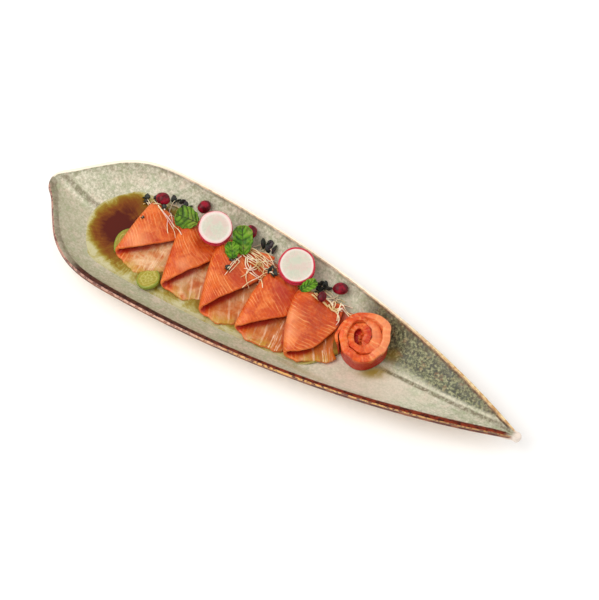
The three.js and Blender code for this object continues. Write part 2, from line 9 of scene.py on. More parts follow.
import bpy
import bmesh
import numpy as np
from bpy.props import FloatProperty, FloatVectorProperty, IntProperty, PointerProperty
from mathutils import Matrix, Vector


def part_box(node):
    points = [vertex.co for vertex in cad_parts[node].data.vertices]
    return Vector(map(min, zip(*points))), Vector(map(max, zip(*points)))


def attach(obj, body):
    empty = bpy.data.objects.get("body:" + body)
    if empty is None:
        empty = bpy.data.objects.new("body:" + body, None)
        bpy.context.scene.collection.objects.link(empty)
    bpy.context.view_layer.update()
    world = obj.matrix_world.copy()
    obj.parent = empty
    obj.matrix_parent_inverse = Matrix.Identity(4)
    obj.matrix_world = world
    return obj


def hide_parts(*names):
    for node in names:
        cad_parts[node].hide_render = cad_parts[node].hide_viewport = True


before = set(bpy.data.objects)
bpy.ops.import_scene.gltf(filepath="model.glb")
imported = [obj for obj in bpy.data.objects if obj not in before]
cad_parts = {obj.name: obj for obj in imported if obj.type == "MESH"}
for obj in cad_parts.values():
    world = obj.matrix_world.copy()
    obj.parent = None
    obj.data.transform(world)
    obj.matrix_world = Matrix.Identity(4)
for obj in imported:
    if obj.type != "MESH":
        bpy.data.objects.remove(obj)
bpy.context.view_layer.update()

bl_info = {
    "name": "Plated salmon",
    "version": (1, 0, 0),
    "blender": (4, 5, 0),
    "location": "View3D > Sidebar > Plate",
    "description": "Builds a leaf dish with folded salmon slices, sauce and garnish",
    "category": "Add Mesh",
}

MM = 0.001
SEAM_GAP = 1e-6

# The dish, as its solid has it

HALF_LENGTH = 190.0
HALF_BREADTH = 54.0
WIDEST_X = -95.0
BLADE_POWER = 0.92
SHOULDER_LENGTH = 91.0
SHOULDER_POWER = 3.5
STEM = {"at": -178.5, "half_length": 11.5, "half_breadth": 12.5, "shift": 3.0}
TIP_RADIUS = 3.0
BLEND_POWER = 3.0
FLOOR_Z = 6.0
RIM_Z = 22.0
RIM_RISE = 1.5
LIP = 3.3
LIP_ROUND = 0.7
WALL = 7.2
BELLY_POWER = 3.2
VEIN_POWER = 1.25
TIP_VEIN = {"from": 30.0, "length": 160.0, "power": 1.6, "crease_to": 140.0}
STEM_VEIN = {"from": -133.0, "length": 55.0, "power": 1.4, "crease_to": -178.0}
SPINE = (-176.0, 178.0)
BOWL_RINGS = 44
BACK_RINGS = 22
BOWL_RIPPLE = {"height": 0.22, "rate": 0.11, "seed": 4}

# The lip's section: distance in from the outline and drop below the rim's top. The third is the crest
LIP_PROFILE = (
    (2.7, 0.2), (2.2, 0.04), (1.8, 0.0), (1.3, 0.05), (0.9, 0.2), (0.5, 0.5),
    (0.2, 1.1), (0.0, 2.1), (0.2, 3.2), (0.8, 4.2), (1.7, 5.4),
)
CREST = 2

# Thin films of sauce on the dish beside the food: place, half length, half breadth, turn and strength
FILMS = (
    (78.0, -3.6, 11.0, 5.2, 32, 0.95),
    (82.0, 13.0, 6.0, 4.6, 32, 0.6),
    (36.0, -31.0, 22.0, 3.2, 0, 0.35),
)
FILM_THICK = 0.12

# The pool: a darker spot in its middle, and a spot of painted shade beside the rose, as x, y and size;
# where it may lie along X, its grid, and the point that its streaks fan out from
POOL_CORE = ((-139, -1, 13),)
POOL_SHADE = ((47, -2, 6),)
POOL_REACH = (-160, 50)
POOL_GRID = (260, 90)
FAN_MIDDLE = (-104, 4)

# The salmon, as its solids have it

LOWER_END = 0.36
FOLD_END = 0.6
FOLD_HALF = 3.6
FLAP_EDGE_GAP = 4.3
LOW_Z = 8.9
LOWER_RETREAT = 0.2
FLAP_RETREAT = 0.15
SLICE_THICK = 2.6
SLICE_GRID = (190, 96)
FAT_SWAY = 9.0

# Rate and seed of the slices' unevenness: a slow sway, a crumple and a fine pucker
SLICE_RIPPLES = ((0.22, 20), (0.5, 30), (0.85, 40))

# Each slice, from the stem end. Its fold runs from near to peak and on to length, in a bow. Lower and
# flap say how far its two layers reach across. Tip, slope and curl shape the near edge of the flap, and
# draw holds how deep, from where and to where the lower edge is drawn back. Left is the height of the
# lower layer at the fold. Open and high are the gap inside the fold at its ends and at its peak. Lean
# is the angle of the grain at the fold and far from it, and lean_by the share of the flap between the
# two. The spots of painted highlight and painted shade are given as x, y and size. Stain, striped and
# shade say how strongly the sauce, the pale stripes and the painted shade at the far edge show.
SLICES = (
    {"near": (-121.5, -21.2), "peak": (-119.5, 19.6), "length": 47, "bow": 0.5, "lower": 43, "flap": 35,
     "tip": 4, "slope": 0.86, "curl": 0.009, "left": 9.8, "open": 5.6, "high": 12.4, "lean": (45, 66),
     "stain": 0.0, "draw": (4, 16, 28), "striped": 0.6, "glow": ((-112, -6, 8), (-106, -13, 5))},
    {"near": (-78.8, -27), "peak": (-89.5, 14.2), "length": 56, "bow": 1, "lower": 45, "flap": 35,
     "tip": 3, "slope": 1.05, "curl": 0.004, "left": 11.9, "open": 6.8, "high": 11.6, "lean": (26, 74),
     "stain": 0.1, "striped": 0.8, "glow": ((-74, -8, 4),), "dusk": ((-74.5, -23, 1.8),)},
    {"near": (-45.1, -30.6), "peak": (-57.5, 7.1), "length": 60, "bow": 1.5, "lower": 44, "flap": 40,
     "tip": 4.5, "slope": 0.9, "curl": 0.004, "left": 11.9, "open": 6.4, "high": 12, "lean": (24, 76),
     "stain": 0.6, "striped": 0.7},
    {"near": (-18.2, -27.7), "peak": (-18.9, 12.7), "length": 52, "bow": 2, "lower": 45, "flap": 39,
     "tip": 2, "slope": 0.85, "curl": 0.008, "left": 11.9, "open": 5.6, "high": 12.8, "lean": (50, 74),
     "stain": 0.85, "striped": 1.0, "shade": 0.5, "dusk": ((-6, 11, 6), (14.7, -17.6, 2.6))},
    {"near": (22.2, -27.8), "peak": (6.6, 11.9), "length": 50, "bow": 3, "lower": 44, "flap": 34,
     "tip": 2.5, "slope": 0.05, "curl": 0.027, "left": 11.9, "open": 5.6, "high": 12.8, "lean": (36, 84),
     "stain": 1.0, "draw": (4, 3, 16), "striped": 0.85, "lean_by": 0.55,
     "glow": ((12, -4, 6), (18, -14, 5)), "dusk": ((40, 14, 4),)},
)

# The rose is a spiral between two radii, that starts at an angle. It thins out from a share of its
# length, and its heart lies sunk
ROSE = {"x": 61.9, "y": 7.9, "inner": 4.6, "outer": 18.1, "pitch": 4.9, "thick": 4.3, "end_thick": 1.2,
        "thin_from": 0.82, "base": 6.0, "top": 26.5, "flare": 2.2, "from": -46.0, "wave": 1.2,
        "wave_rate": 1.5, "sunk": 2.5, "rows": 56, "begins": -0.3, "fat_spacing": 4.2,
        "least_thick": 0.6, "rounding": 0.16}

# Waves along the rose's upper edge: height, rate and shift
ROSE_EDGE = ((0.4, 2.9, 1), (0.35, 5.3, 0), (0.25, 9.7, 2))
PETAL_RIPPLE = {"width": 0.65, "rate": 0.55, "seed": 9}
EDGE_RIPPLE = {"height": 0.9, "rate": 0.6, "seed": 8}

# The garnish, as its solids have it

# Degrees from +X to the right-hand side of the main view, which the garnish tips about
FACING = 32.0
RADISHES = (
    {"name": "radish_1", "x": -67.6, "y": 24.6, "radius": 11.6, "tilt": 24, "turn": 40, "skin": 0.35},
    {"name": "radish_2", "x": -4.2, "y": 29.0, "radius": 12.6, "tilt": 24, "turn": 32, "skin": 1.25},
)
UNDER_SKIN = 2.4
DISC_STEPS = (26, 6)
CUCUMBERS = (
    {"x": -113.5, "y": -8.6, "radius": 14.5, "tilt": 8, "turn": 90},
    {"x": -90.0, "y": -26.0, "radius": 8.5, "tilt": 14, "turn": 270},
)
CUCUMBER_SKIN = 0.8
LEAVES = (
    {"x": -89.6, "y": 22.4, "length": 16, "breadth": 15, "turn": 190, "tilt": 18, "cup": 1, "dark": 0.75},
    {"x": -48.2, "y": 29.3, "length": 20, "breadth": 13, "turn": 125, "tilt": 22, "cup": 1.2, "dark": 0.45},
    {"x": -49.8, "y": 18.0, "length": 12, "breadth": 9, "turn": 125, "tilt": 12, "cup": 0.7, "dark": 0.1},
    {"x": 9.7, "y": 21.8, "length": 12.6, "breadth": 7, "turn": 65, "tilt": 15, "cup": 0.6, "dark": 0.2},
)
LEAF_THICK = 0.55
LEAF_GRID = (90, 70)
BERRY_RADII = (5.0, 4.9, 4.7, 5.0, 3.6)
BERRY_SHAPE = np.array([1.1, 0.92, 0.85])
BERRY_FACETS = 11
BERRY_POWER = 9
BERRY_TURN = 70
BERRY_SEED = 60
SEED_GRID = (9, 7)

# Each heap: the stems' paths in plan, the heads with a leaf of a given size on their second end, and
# the tangles of short stems laid by chance: middle, half length, half breadth and count
SPROUTS = {
    "sprouts_left": {
        "stems": (
            ((-113.5, 22.2), (-107.5, 19.3), (-100.5, 17.7), (-93.5, 14.6), (-85.9, 9.8)),
            ((-127.7, 23.5), (-125.1, 26.6), (-119, 24.6), (-114.4, 22.5)),
            ((-110.6, 30.4), (-106, 25), (-101.3, 20.6), (-95.6, 14.1)),
            ((-111.7, 33.3), (-105, 33.8), (-99, 33)),
            ((-112.3, 21.2), (-104.5, 17.9), (-94.1, 13.2), (-90, 8)),
            ((-112.8, 31.7), (-112.4, 24.7), (-116.9, 21.1)),
            ((-109.5, 36.8), (-110.2, 33.8), (-108.8, 28.3)),
            ((-101.6, 25), (-103.2, 20), (-101, 14), (-97, 9)),
        ),
        "heads": (
            ((-123, 26), (-128.8, 29.2), 0.9), ((-124, 25), (-127, 26.2), 0.8),
            ((-118, 28), (-121.6, 32), 0.9), ((-108, 22), (-110.1, 23.6), 0.8),
            ((-107, 34), (-109, 37.4), 1.2), ((-103, 33), (-103, 37.6), 1.0),
            ((-101, 32), (-99.5, 37.6), 1.1), ((-117.4, 8.6), (-117.2, 7.9), 0.45),
        ),
    },
    "sprouts_mid": {
        "tangle": ((-31, 15, 9, 4, 7), (-33, 24, 8, 4, 5)),
        "stems": (
            ((-42.7, 29.5), (-36.1, 34.5), (-27.7, 31), (-17, 24.5)),
            ((-40.2, 28.2), (-32.4, 28.8), (-25.1, 27.5), (-19.8, 27.8)),
            ((-41.6, 26.4), (-33.7, 25.6), (-26.4, 24.4), (-19.5, 22.6)),
            ((-41.9, 24.4), (-33.6, 23), (-26.8, 22.5)),
            ((-43, 34), (-39, 37.4), (-33, 38.2), (-28.6, 37)),
            ((-41.7, 33.4), (-34.2, 35.4), (-26.8, 34.8)),
            ((-42.1, 21), (-35.9, 21.4), (-28.7, 21.9), (-19.6, 18.9)),
            ((-43.9, 27.6), (-37.5, 26.5), (-31.3, 27), (-26.7, 26), (-22.1, 26.5)),
            ((-30.4, 0.4), (-29.2, 5.4), (-27.1, 10.6), (-22.9, 15), (-17.6, 18.2), (-12.4, 19.6)),
            ((-43.4, 19.5), (-43.7, 11.1), (-43.6, 4.3), (-43.9, -0.6)),
            ((-44, 15.9), (-45, 12), (-44.9, 6.8)),
            ((-41.8, 14.4), (-41.9, 8.6), (-42.4, 3)),
            ((-40.7, 21.3), (-37.8, 15.5), (-33.8, 13.1), (-30, 17.3), (-29.9, 22.1)),
            ((-40.1, 22.9), (-37.6, 17.8), (-33.6, 15.3)),
            ((-32.5, 23.8), (-31.3, 19.3), (-33.2, 14.6), (-37.1, 13.1)),
            ((-37, 30), (-30, 28), (-24, 24), (-20, 19)),
            ((-38, 20), (-31, 20), (-24, 18.4)),
        ),
        "heads": (
            ((-38, 35), (-35.8, 39.8), 1.5), ((-33, 35), (-30.7, 38.6), 1.4), ((-26, 22), (-22.3, 23.2), 1.0),
            ((-21, 19), (-17.8, 18.6), 1.1), ((-19, 17), (-15, 16.8), 0.8), ((-44.4, 7), (-45, 4.7), 0.8),
            ((-43, 12), (-46.2, 11.8), 0.6), ((-42, 15), (-45.3, 14.9), 0.6), ((-36, 35), (-33.4, 39.8), 0.8),
        ),
    },
    "sprouts_right": {
        "thick": 1.3,
        "tangle": ((30, 22, 6, 4, 9),),
        "stems": (
            ((12.6, 27.1), (19.2, 20.6), (24.6, 21.8), (26, 29), (28, 32.3)),
            ((17, 31.9), (20.8, 31.2), (24.7, 30.2), (28, 28.2)),
            ((17.3, 30.3), (22.8, 29), (28.9, 28.2), (35, 24.5)),
            ((15, 17.6), (18, 17.4), (21.3, 17.3)),
            ((27, 21.9), (26.7, 28.3), (30.2, 30.3), (34.1, 30)),
            ((21.9, 27.6), (28.6, 20.5), (33.2, 19.6), (37.2, 21.3)),
            ((20, 24), (27, 25), (34, 28), (41, 29)),
            ((16, 22), (22, 19.6), (28, 18.4)),
        ),
        "heads": (
            ((15, 30), (13.4, 31.4), 1.0), ((17, 30), (15.7, 31.6), 1.1), ((18, 31), (17.4, 33.4), 1.2),
            ((15, 31), (13.8, 33.2), 0.9), ((14, 28), (13, 28.6), 0.8), ((20, 31), (20, 33), 0.7),
        ),
    },
}
TANGLE_STEP = 2.6
HEAP_SEED = 90
SEED_LEAF_SEED = 7
PROBE_HEIGHT = 70.0

# The stage, in metres and degrees, with the camera's lens and sensor in millimetres

FLOOR_HALF = 6.0
FLOOR_DROP = 0.0002
SKY_TINT = (1.0, 0.99, 0.975, 1.0)
LAMPS = (
    {"name": "key", "place": (-0.66, -0.58, 1.2), "width": 1.3, "tint": (1.0, 0.975, 0.94)},
    {"name": "fill", "place": (0.8, 0.75, 1.0), "width": 1.5, "tint": (0.97, 0.98, 1.0)},
)
CAMERA = {"azimuth": 32.2, "elevation": 60, "distance": 2.043, "target": (0.009158, 0.011154, 0.0213),
          "lens": 180, "sensor": 36}


# Small sums

def smoothstep(x, low, high):
    t = np.clip((np.asarray(x, float) - low) / (high - low), 0, 1)
    return t * t * (3 - 2 * t)


def mix(a, b, t):
    return a + (b - a) * t


def clustered(count, share=0.85):
    """Numbers from 0 to 1 that lie closer together at both ends."""
    u = np.linspace(0, 1, count)
    return u - share * np.sin(2 * np.pi * u) / (2 * np.pi)


def unit(v):
    return v / np.maximum(np.linalg.norm(v, axis=-1, keepdims=True), 1e-9)


def spin(degrees):
    """Turns points about the upright axis, as points @ spin(degrees)."""
    a = math.radians(degrees)
    return np.array([[math.cos(a), math.sin(a), 0], [-math.sin(a), math.cos(a), 0], [0, 0, 1]])


def direction(angle):
    return np.stack([np.cos(angle), np.sin(angle)], -1)


def raised(plan, z):
    """Points, from their places in plan and their heights."""
    return np.concatenate([plan, z[..., None]], -1)


def length_along(points, axis=0):
    """How far each point of a row lies from the row's first point."""
    steps = np.linalg.norm(np.diff(points, axis=axis), axis=-1)
    start = np.zeros_like(np.take(steps, [0], axis=axis))
    return np.concatenate([start, np.cumsum(steps, axis=axis)], axis=axis)


def ripple(x, y, rate, seed):
    """A gentle, even unevenness between -1 and 1, from a few crossing waves."""
    random = np.random.default_rng(seed)
    total = 0
    for _ in range(5):
        angle, phase, k = random.uniform(0, 2 * np.pi), random.uniform(0, 6), random.uniform(0.6, 1.5)
        total = total + np.sin((x * math.cos(angle) + y * math.sin(angle)) * rate * k + phase)
    return total / 5


def spots(x, y, places):
    """Soft round spots that are 1 in the middle. Each place holds x, y and size."""
    return sum(np.exp(-((x - a) ** 2 + (y - b) ** 2) / size**2) for a, b, size in places)


def paint(red, green, blue):
    """A colour as it is seen, 0 to 255, turned into the linear numbers that a shader takes."""
    def linear(c):
        c /= 255
        return c / 12.92 if c <= 0.04045 else ((c + 0.055) / 1.055) ** 2.4
    return (linear(red), linear(green), linear(blue), 1.0)


# The form of the dish

def oval_half(x, at, half_length, half_breadth):
    s = (x - at) / half_length
    return half_breadth * np.sqrt(np.clip(1 - s * s, 0, None))


def blade_half(x):
    s = np.clip((x - WIDEST_X) / (HALF_LENGTH - WIDEST_X), 0, 1)
    t = np.clip((WIDEST_X - x) / SHOULDER_LENGTH, 0, 1)
    right = HALF_BREADTH * (1 - s * s) ** BLADE_POWER
    left = HALF_BREADTH * (1 - t**SHOULDER_POWER)
    return np.where(x >= WIDEST_X, right, left)


def half_breadth(x):
    stem = oval_half(x, STEM["at"], STEM["half_length"], STEM["half_breadth"])
    tip = oval_half(x, HALF_LENGTH - TIP_RADIUS, TIP_RADIUS, TIP_RADIUS)
    total = blade_half(x) ** BLEND_POWER + stem**BLEND_POWER + tip**BLEND_POWER
    return total ** (1 / BLEND_POWER)


def midline(x):
    return STEM["shift"] * smoothstep(-np.asarray(x, float), 160, 185)


def outline(turn):
    angle = turn * 2 * np.pi
    x = HALF_LENGTH * np.cos(angle)
    side = np.where(np.abs(np.sin(angle)) < 1e-6, 0, np.sign(np.sin(angle)))
    return np.stack([x, midline(x) + side * half_breadth(x)], -1)


def inset(turn, amount):
    along = unit(outline(turn + 1e-3) - outline(turn - 1e-3))
    inward = np.stack([-along[..., 1], along[..., 0]], -1)
    edge = outline(turn)
    narrow = np.clip(half_breadth(edge[..., 0]) / 8, 0.5, 1)
    return edge + inward * (amount * narrow)[..., None]


def rim_height(x):
    return RIM_Z + RIM_RISE * (1 - (x / HALF_LENGTH) ** 2)


def spine_height(x):
    tip = np.clip((x - TIP_VEIN["from"]) / TIP_VEIN["length"], 0, 1) ** TIP_VEIN["power"]
    stem = np.clip((STEM_VEIN["from"] - x) / STEM_VEIN["length"], 0, 1) ** STEM_VEIN["power"]
    return mix(FLOOR_Z, RIM_Z - LIP_ROUND, np.maximum(tip, stem))


def belly_power(x):
    tip = smoothstep(x, TIP_VEIN["from"], TIP_VEIN["crease_to"])
    stem = smoothstep(-np.asarray(x, float), -STEM_VEIN["from"], -STEM_VEIN["crease_to"])
    return mix(BELLY_POWER, VEIN_POWER, np.maximum(tip, stem))


def wall_height(x, share):
    """Height inside the bowl, at a share of the way from the spine to the lip."""
    return mix(spine_height(x), rim_height(x) - LIP_ROUND, share ** belly_power(x))


def floor_height(x, y):
    reach = np.maximum(1, half_breadth(x) - LIP)
    return wall_height(x, np.minimum(1, np.abs(y - midline(x)) / reach))


def bowl_ring(turn, share, drop):
    x = np.clip(outline(turn)[..., 0], *SPINE)
    plan = mix(np.stack([x, midline(x)], -1), inset(turn, LIP), share)
    inside = wall_height(x, share)
    return raised(plan, np.maximum(0, inside - drop) if drop > 0 else inside)


def lip_ring(turn, inward, drop):
    plan = inset(turn, inward)
    return raised(plan, rim_height(plan[..., 0]) - drop)


# Meshes

def write_mesh(name, points, faces, facts=None):
    """A smooth mesh from arrays in millimetres. Facts are numbers that the materials read."""
    mesh = bpy.data.meshes.new(name)
    points = np.reshape(points, (-1, 3))
    count, sides = faces.shape
    mesh.vertices.add(len(points))
    mesh.vertices.foreach_set("co", (points * MM).ravel())
    mesh.loops.add(faces.size)
    mesh.loops.foreach_set("vertex_index", faces.ravel().astype(np.int32))
    mesh.polygons.add(count)
    mesh.polygons.foreach_set("loop_start", np.arange(0, faces.size, sides, dtype=np.int32))
    mesh.polygons.foreach_set("use_smooth", np.ones(count, bool))
    mesh.update(calc_edges=True)
    for key, values in (facts or {}).items():
        layer = mesh.attributes.new(key, "FLOAT", "POINT")
        layer.data.foreach_set("value", np.asarray(values, np.float32).ravel())
    mesh.validate()
    return mesh


def link_object(name, data):
    made = bpy.data.objects.new(name, data)
    bpy.context.scene.collection.objects.link(made)
    return made


def add_piece(mesh, node, material=None):
    """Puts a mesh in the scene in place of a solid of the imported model."""
    piece = link_object(mesh.name, mesh)
    if material:
        mesh.materials.append(material)
    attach(piece, "root")
    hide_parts(node)


def merge_seams(mesh):
    """Joins points that lie in one place, and turns all faces outward."""
    work = bmesh.new()
    work.from_mesh(mesh)
    bmesh.ops.remove_doubles(work, verts=work.verts, dist=SEAM_GAP)
    bmesh.ops.recalc_face_normals(work, faces=work.faces)
    work.to_mesh(mesh)
    work.free()
    mesh.update()


def quads(index, flip=False):
    """The four-sided faces between the points of a numbered grid."""
    faces = np.stack([index[:-1, :-1], index[1:, :-1], index[1:, 1:], index[:-1, 1:]], -1).reshape(-1, 4)
    return faces[:, [0, 3, 2, 1]] if flip else faces


def ring_faces(rings, around, flip=False):
    """Faces between rings of points, each ring closed."""
    index = np.arange(rings * around).reshape(rings, around)
    return quads(np.concatenate([index, index[:, :1]], axis=1), flip)


def closed_mesh(name, upper, lower, facts):
    """A sheet between two grids of points that share their edge. Each fact has an upper and a lower side."""
    shape = upper.shape[:2]
    index = np.arange(upper[..., 0].size).reshape(shape)
    under = index.copy()
    under[1:-1, 1:-1] += index.size
    used, faces = np.unique(np.concatenate([quads(index), quads(under, flip=True)]), return_inverse=True)
    points = np.concatenate([upper.reshape(-1, 3), lower.reshape(-1, 3)])[used]
    values = {
        key: np.concatenate([np.broadcast_to(side, shape).ravel() for side in sides])[used]
        for key, sides in facts.items()
    }
    return write_mesh(name, points, faces.reshape(-1, 4), values)


def sheet_mesh(name, middle, thickness, facts, rounding=0.55):
    """A sheet with soft edges about a grid of points."""
    normal = unit(np.cross(unit(np.gradient(middle, axis=0)), unit(np.gradient(middle, axis=1))))
    runs = [length_along(middle, axis) for axis in (0, 1)]
    edge = np.minimum(*(np.minimum(run, np.take(run, [-1], axis) - run) for run, axis in zip(runs, (0, 1))))
    inward = np.clip(edge / np.maximum(thickness * rounding, 1e-6), 0, 1)
    half = thickness / 2 * np.sqrt(np.clip(1 - (1 - inward) ** 2, 0, 1))
    offset = normal * half[..., None]
    return closed_mesh(name, middle + offset, middle - offset, {"edge": (edge, edge), **facts})


def tipped(points, part, turn):
    """Tips points about a level axis and moves them to the part's place in plan."""
    a, t = math.radians(turn), math.radians(part["tilt"])
    axis = np.array([math.cos(a), math.sin(a), 0.0])
    along = axis * (points @ axis)[..., None]
    turned = points * math.cos(t) + np.cross(axis, points) * math.sin(t) + along * (1 - math.cos(t))
    return turned + np.array([part["x"], part["y"], 0.0])


def level_with(node, points):
    """Moves points up or down to the middle height of the solid that they stand for."""
    low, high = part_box(node)
    middle = (low[2] + high[2]) / 2 / MM
    return points + np.array([0, 0, middle - (points[..., 2].min() + points[..., 2].max()) / 2])


# Node trees for the finishes

def rgba(colour):
    """A socket as it is, red, green and blue as they are seen (0 to 255), or the colour of a setting."""
    if isinstance(colour, bpy.types.NodeSocket):
        return colour
    return paint(*colour) if isinstance(colour, tuple) else (*colour, 1.0)


class Net:
    """A tree of nodes while it is being built."""

    def __init__(self, tree):
        self.tree = tree

    def add(self, kind, values=None, out=0, **options):
        node = self.tree.nodes.new(kind)
        for key, value in options.items():
            setattr(node, key, value)
        for key, value in (values or {}).items():
            self.plug(node.inputs[key], value)
        return node.outputs[out]

    def plug(self, socket, value):
        if isinstance(value, bpy.types.NodeSocket):
            self.tree.links.new(value, socket)
        else:
            socket.default_value = value

    def sum(self, operation, *values):
        return self.add("ShaderNodeMath", dict(enumerate(values)), operation=operation)

    def times(self, first, *others):
        for value in others:
            first = self.sum("MULTIPLY", first, value)
        return first

    def swing(self, value, size):
        """A value about one half, turned into one about zero."""
        return self.times(self.sum("SUBTRACT", value, 0.5), size)

    def over(self, base, colour, *factors):
        """A colour laid over another one. Its share is the product of the factors."""
        values = {0: self.times(*factors), 6: rgba(base), 7: rgba(colour)}
        return self.add("ShaderNodeMix", values, out=2, data_type="RGBA")

    def layers(self, base, *coats):
        """Colours laid one over the other. Each coat is a colour and the factors of its share."""
        for coat in coats:
            base = self.over(base, *coat)
        return base

    def span(self, value, low, high, to_low=0.0, to_high=1.0, way="SMOOTHSTEP"):
        values = {0: value, 1: low, 2: high, 3: to_low, 4: to_high}
        return self.add("ShaderNodeMapRange", values, interpolation_type=way)

    def noise(self, scale, detail=2.0, rough=0.5, place=None, distortion=0.0):
        values = {"Vector": place or self.place(), "Scale": scale, "Detail": detail, "Roughness": rough,
                  "Distortion": distortion}
        return self.add("ShaderNodeTexNoise", values)

    def cloud(self, scale, detail, rough, *limits):
        """Noise, spread out between two limits."""
        return self.span(self.noise(scale, detail, rough), *limits)

    def place(self):
        return self.add("ShaderNodeTexCoord", out=3)

    def point(self, *values):
        return self.add("ShaderNodeCombineXYZ", dict(enumerate(values)))

    def fact(self, name):
        return self.add("ShaderNodeAttribute", out=2, attribute_name=name)

    def ramp(self, value, *stops):
        node = self.tree.nodes.new("ShaderNodeValToRGB")
        self.plug(node.inputs[0], value)
        elements = node.color_ramp.elements
        elements.remove(elements[-1])
        elements[0].position, elements[0].color = stops[0][0], rgba(stops[0][1])
        for where, colour in stops[1:]:
            elements.new(where).color = rgba(colour)
        return node.outputs[0]

    def shared(self, name, **values):
        """The outputs of a group of nodes that several materials share."""
        node = self.tree.nodes.new("ShaderNodeGroup")
        node.node_tree = shared_tree(name)
        for key, value in values.items():
            self.plug(node.inputs[key], value)
        return list(node.outputs)


SHADER_VALUES = {
    "rough": "Roughness", "specular": "Specular IOR Level", "coat": "Coat Weight",
    "coat_rough": "Coat Roughness",
}


class Finish(Net):
    """A material while it is being built."""

    def __init__(self, name):
        self.material = bpy.data.materials.new(name)
        self.material.use_nodes = True
        super().__init__(self.material.node_tree)
        self.tree.nodes.clear()
        shader = self.tree.nodes.new("ShaderNodeBsdfPrincipled")
        end = self.tree.nodes.new("ShaderNodeOutputMaterial")
        self.tree.links.new(shader.outputs[0], end.inputs[0])
        self.shader = shader.inputs

    def wet(self, scale, dry, wet):
        """Gives the surface the uneven gloss of a moist one. Puts out its small dimples."""
        rough, height = self.shared("Wet surface", Scale=scale, Dry=dry, Wet=wet)
        self.plug(self.shader["Roughness"], rough)
        return height

    def soft(self, weight, radius, scale):
        """Lets light into the surface, by a weight, a radius for each colour and a scale in millimetres."""
        for key, value in (("Weight", weight), ("Radius", radius), ("Scale", scale * MM)):
            self.shader[f"Subsurface {key}"].default_value = value

    def end(self, colour, bump=None, **values):
        """Sets the colour, the bump as height, strength and distance, and the shader's other values."""
        self.plug(self.shader["Base Color"], colour)
        if bump:
            height, strength, distance = bump
            self.plug(self.shader["Normal"], self.add(
                "ShaderNodeBump", {"Height": height, "Strength": strength, "Distance": distance * MM}))
        for key, value in values.items():
            self.plug(self.shader[SHADER_VALUES[key]], value)
        return self.material


def fill_fat_lines(net, given):
    """Thin pale lines at even distances along the grain, broken and of changing strength."""
    sway = net.sum("SUBTRACT", net.noise(34, 3.0, 0.55), 0.5)
    moved = net.sum("MULTIPLY_ADD", sway, given["Sway"], given["Grain"])
    count = net.sum("DIVIDE", moved, given["Spacing"])
    off = net.sum("ABSOLUTE", net.sum("SUBTRACT", net.sum("FRACT", count), 0.5))
    line = net.span(off, net.sum("SUBTRACT", 0.5, given["Width"]), 0.5)
    number = net.sum("FLOOR", net.sum("ADD", count, 0.5))
    chance = net.add("ShaderNodeTexWhiteNoise", {"W": number}, noise_dimensions="1D")
    strength = net.span(chance, 0.0, 1.0, given["Least"], 1.0, way="LINEAR")
    broken = net.cloud(120, 2.0, 0.6, 0.32, 0.6, 0.15, 1.0)
    patch = net.cloud(46, 2.0, 0.5, 0.4, 0.6, 0.2, 1.0)
    return (net.times(line, strength, broken, patch),)


def fill_wet_surface(net, given):
    """The uneven gloss and the small dimples of a moist surface."""
    cloud = net.noise(given["Scale"], 3.0, 0.55)
    return net.span(cloud, 0.35, 0.65, given["Wet"], given["Dry"], way="LINEAR"), cloud


def fill_speckle(net, given):
    """Small uneven spots. Amount moves between none and nearly all."""
    edge = net.span(given["Amount"], 0.0, 1.0, 0.78, 0.3, way="LINEAR")
    low, high = (net.sum(side, edge, given["Soft"]) for side in ("SUBTRACT", "ADD"))
    return (net.span(net.noise(given["Scale"], 3.0, 0.65), low, high, way="LINEAR"),)


SHARED = {
    "Fat lines": (fill_fat_lines, ("Grain", "Spacing", "Width", "Sway", "Least"), ("Line",)),
    "Wet surface": (fill_wet_surface, ("Scale", "Dry", "Wet"), ("Roughness", "Height")),
    "Speckle": (fill_speckle, ("Scale", "Amount", "Soft"), ("Spot",)),
}


def shared_tree(name):
    """A shared group of nodes, built when it is first asked for."""
    if name in bpy.data.node_groups:
        return bpy.data.node_groups[name]
    fill, inputs, outputs = SHARED[name]
    tree = bpy.data.node_groups.new(name, "ShaderNodeTree")
    for way, keys in (("INPUT", inputs), ("OUTPUT", outputs)):
        for key in keys:
            tree.interface.new_socket(key, in_out=way, socket_type="NodeSocketFloat")
    net = Net(tree)
    results = fill(net, tree.nodes.new("NodeGroupInput").outputs)
    end = tree.nodes.new("NodeGroupOutput")
    for key, value in zip(outputs, results):
        net.plug(end.inputs[key], value)
    return tree


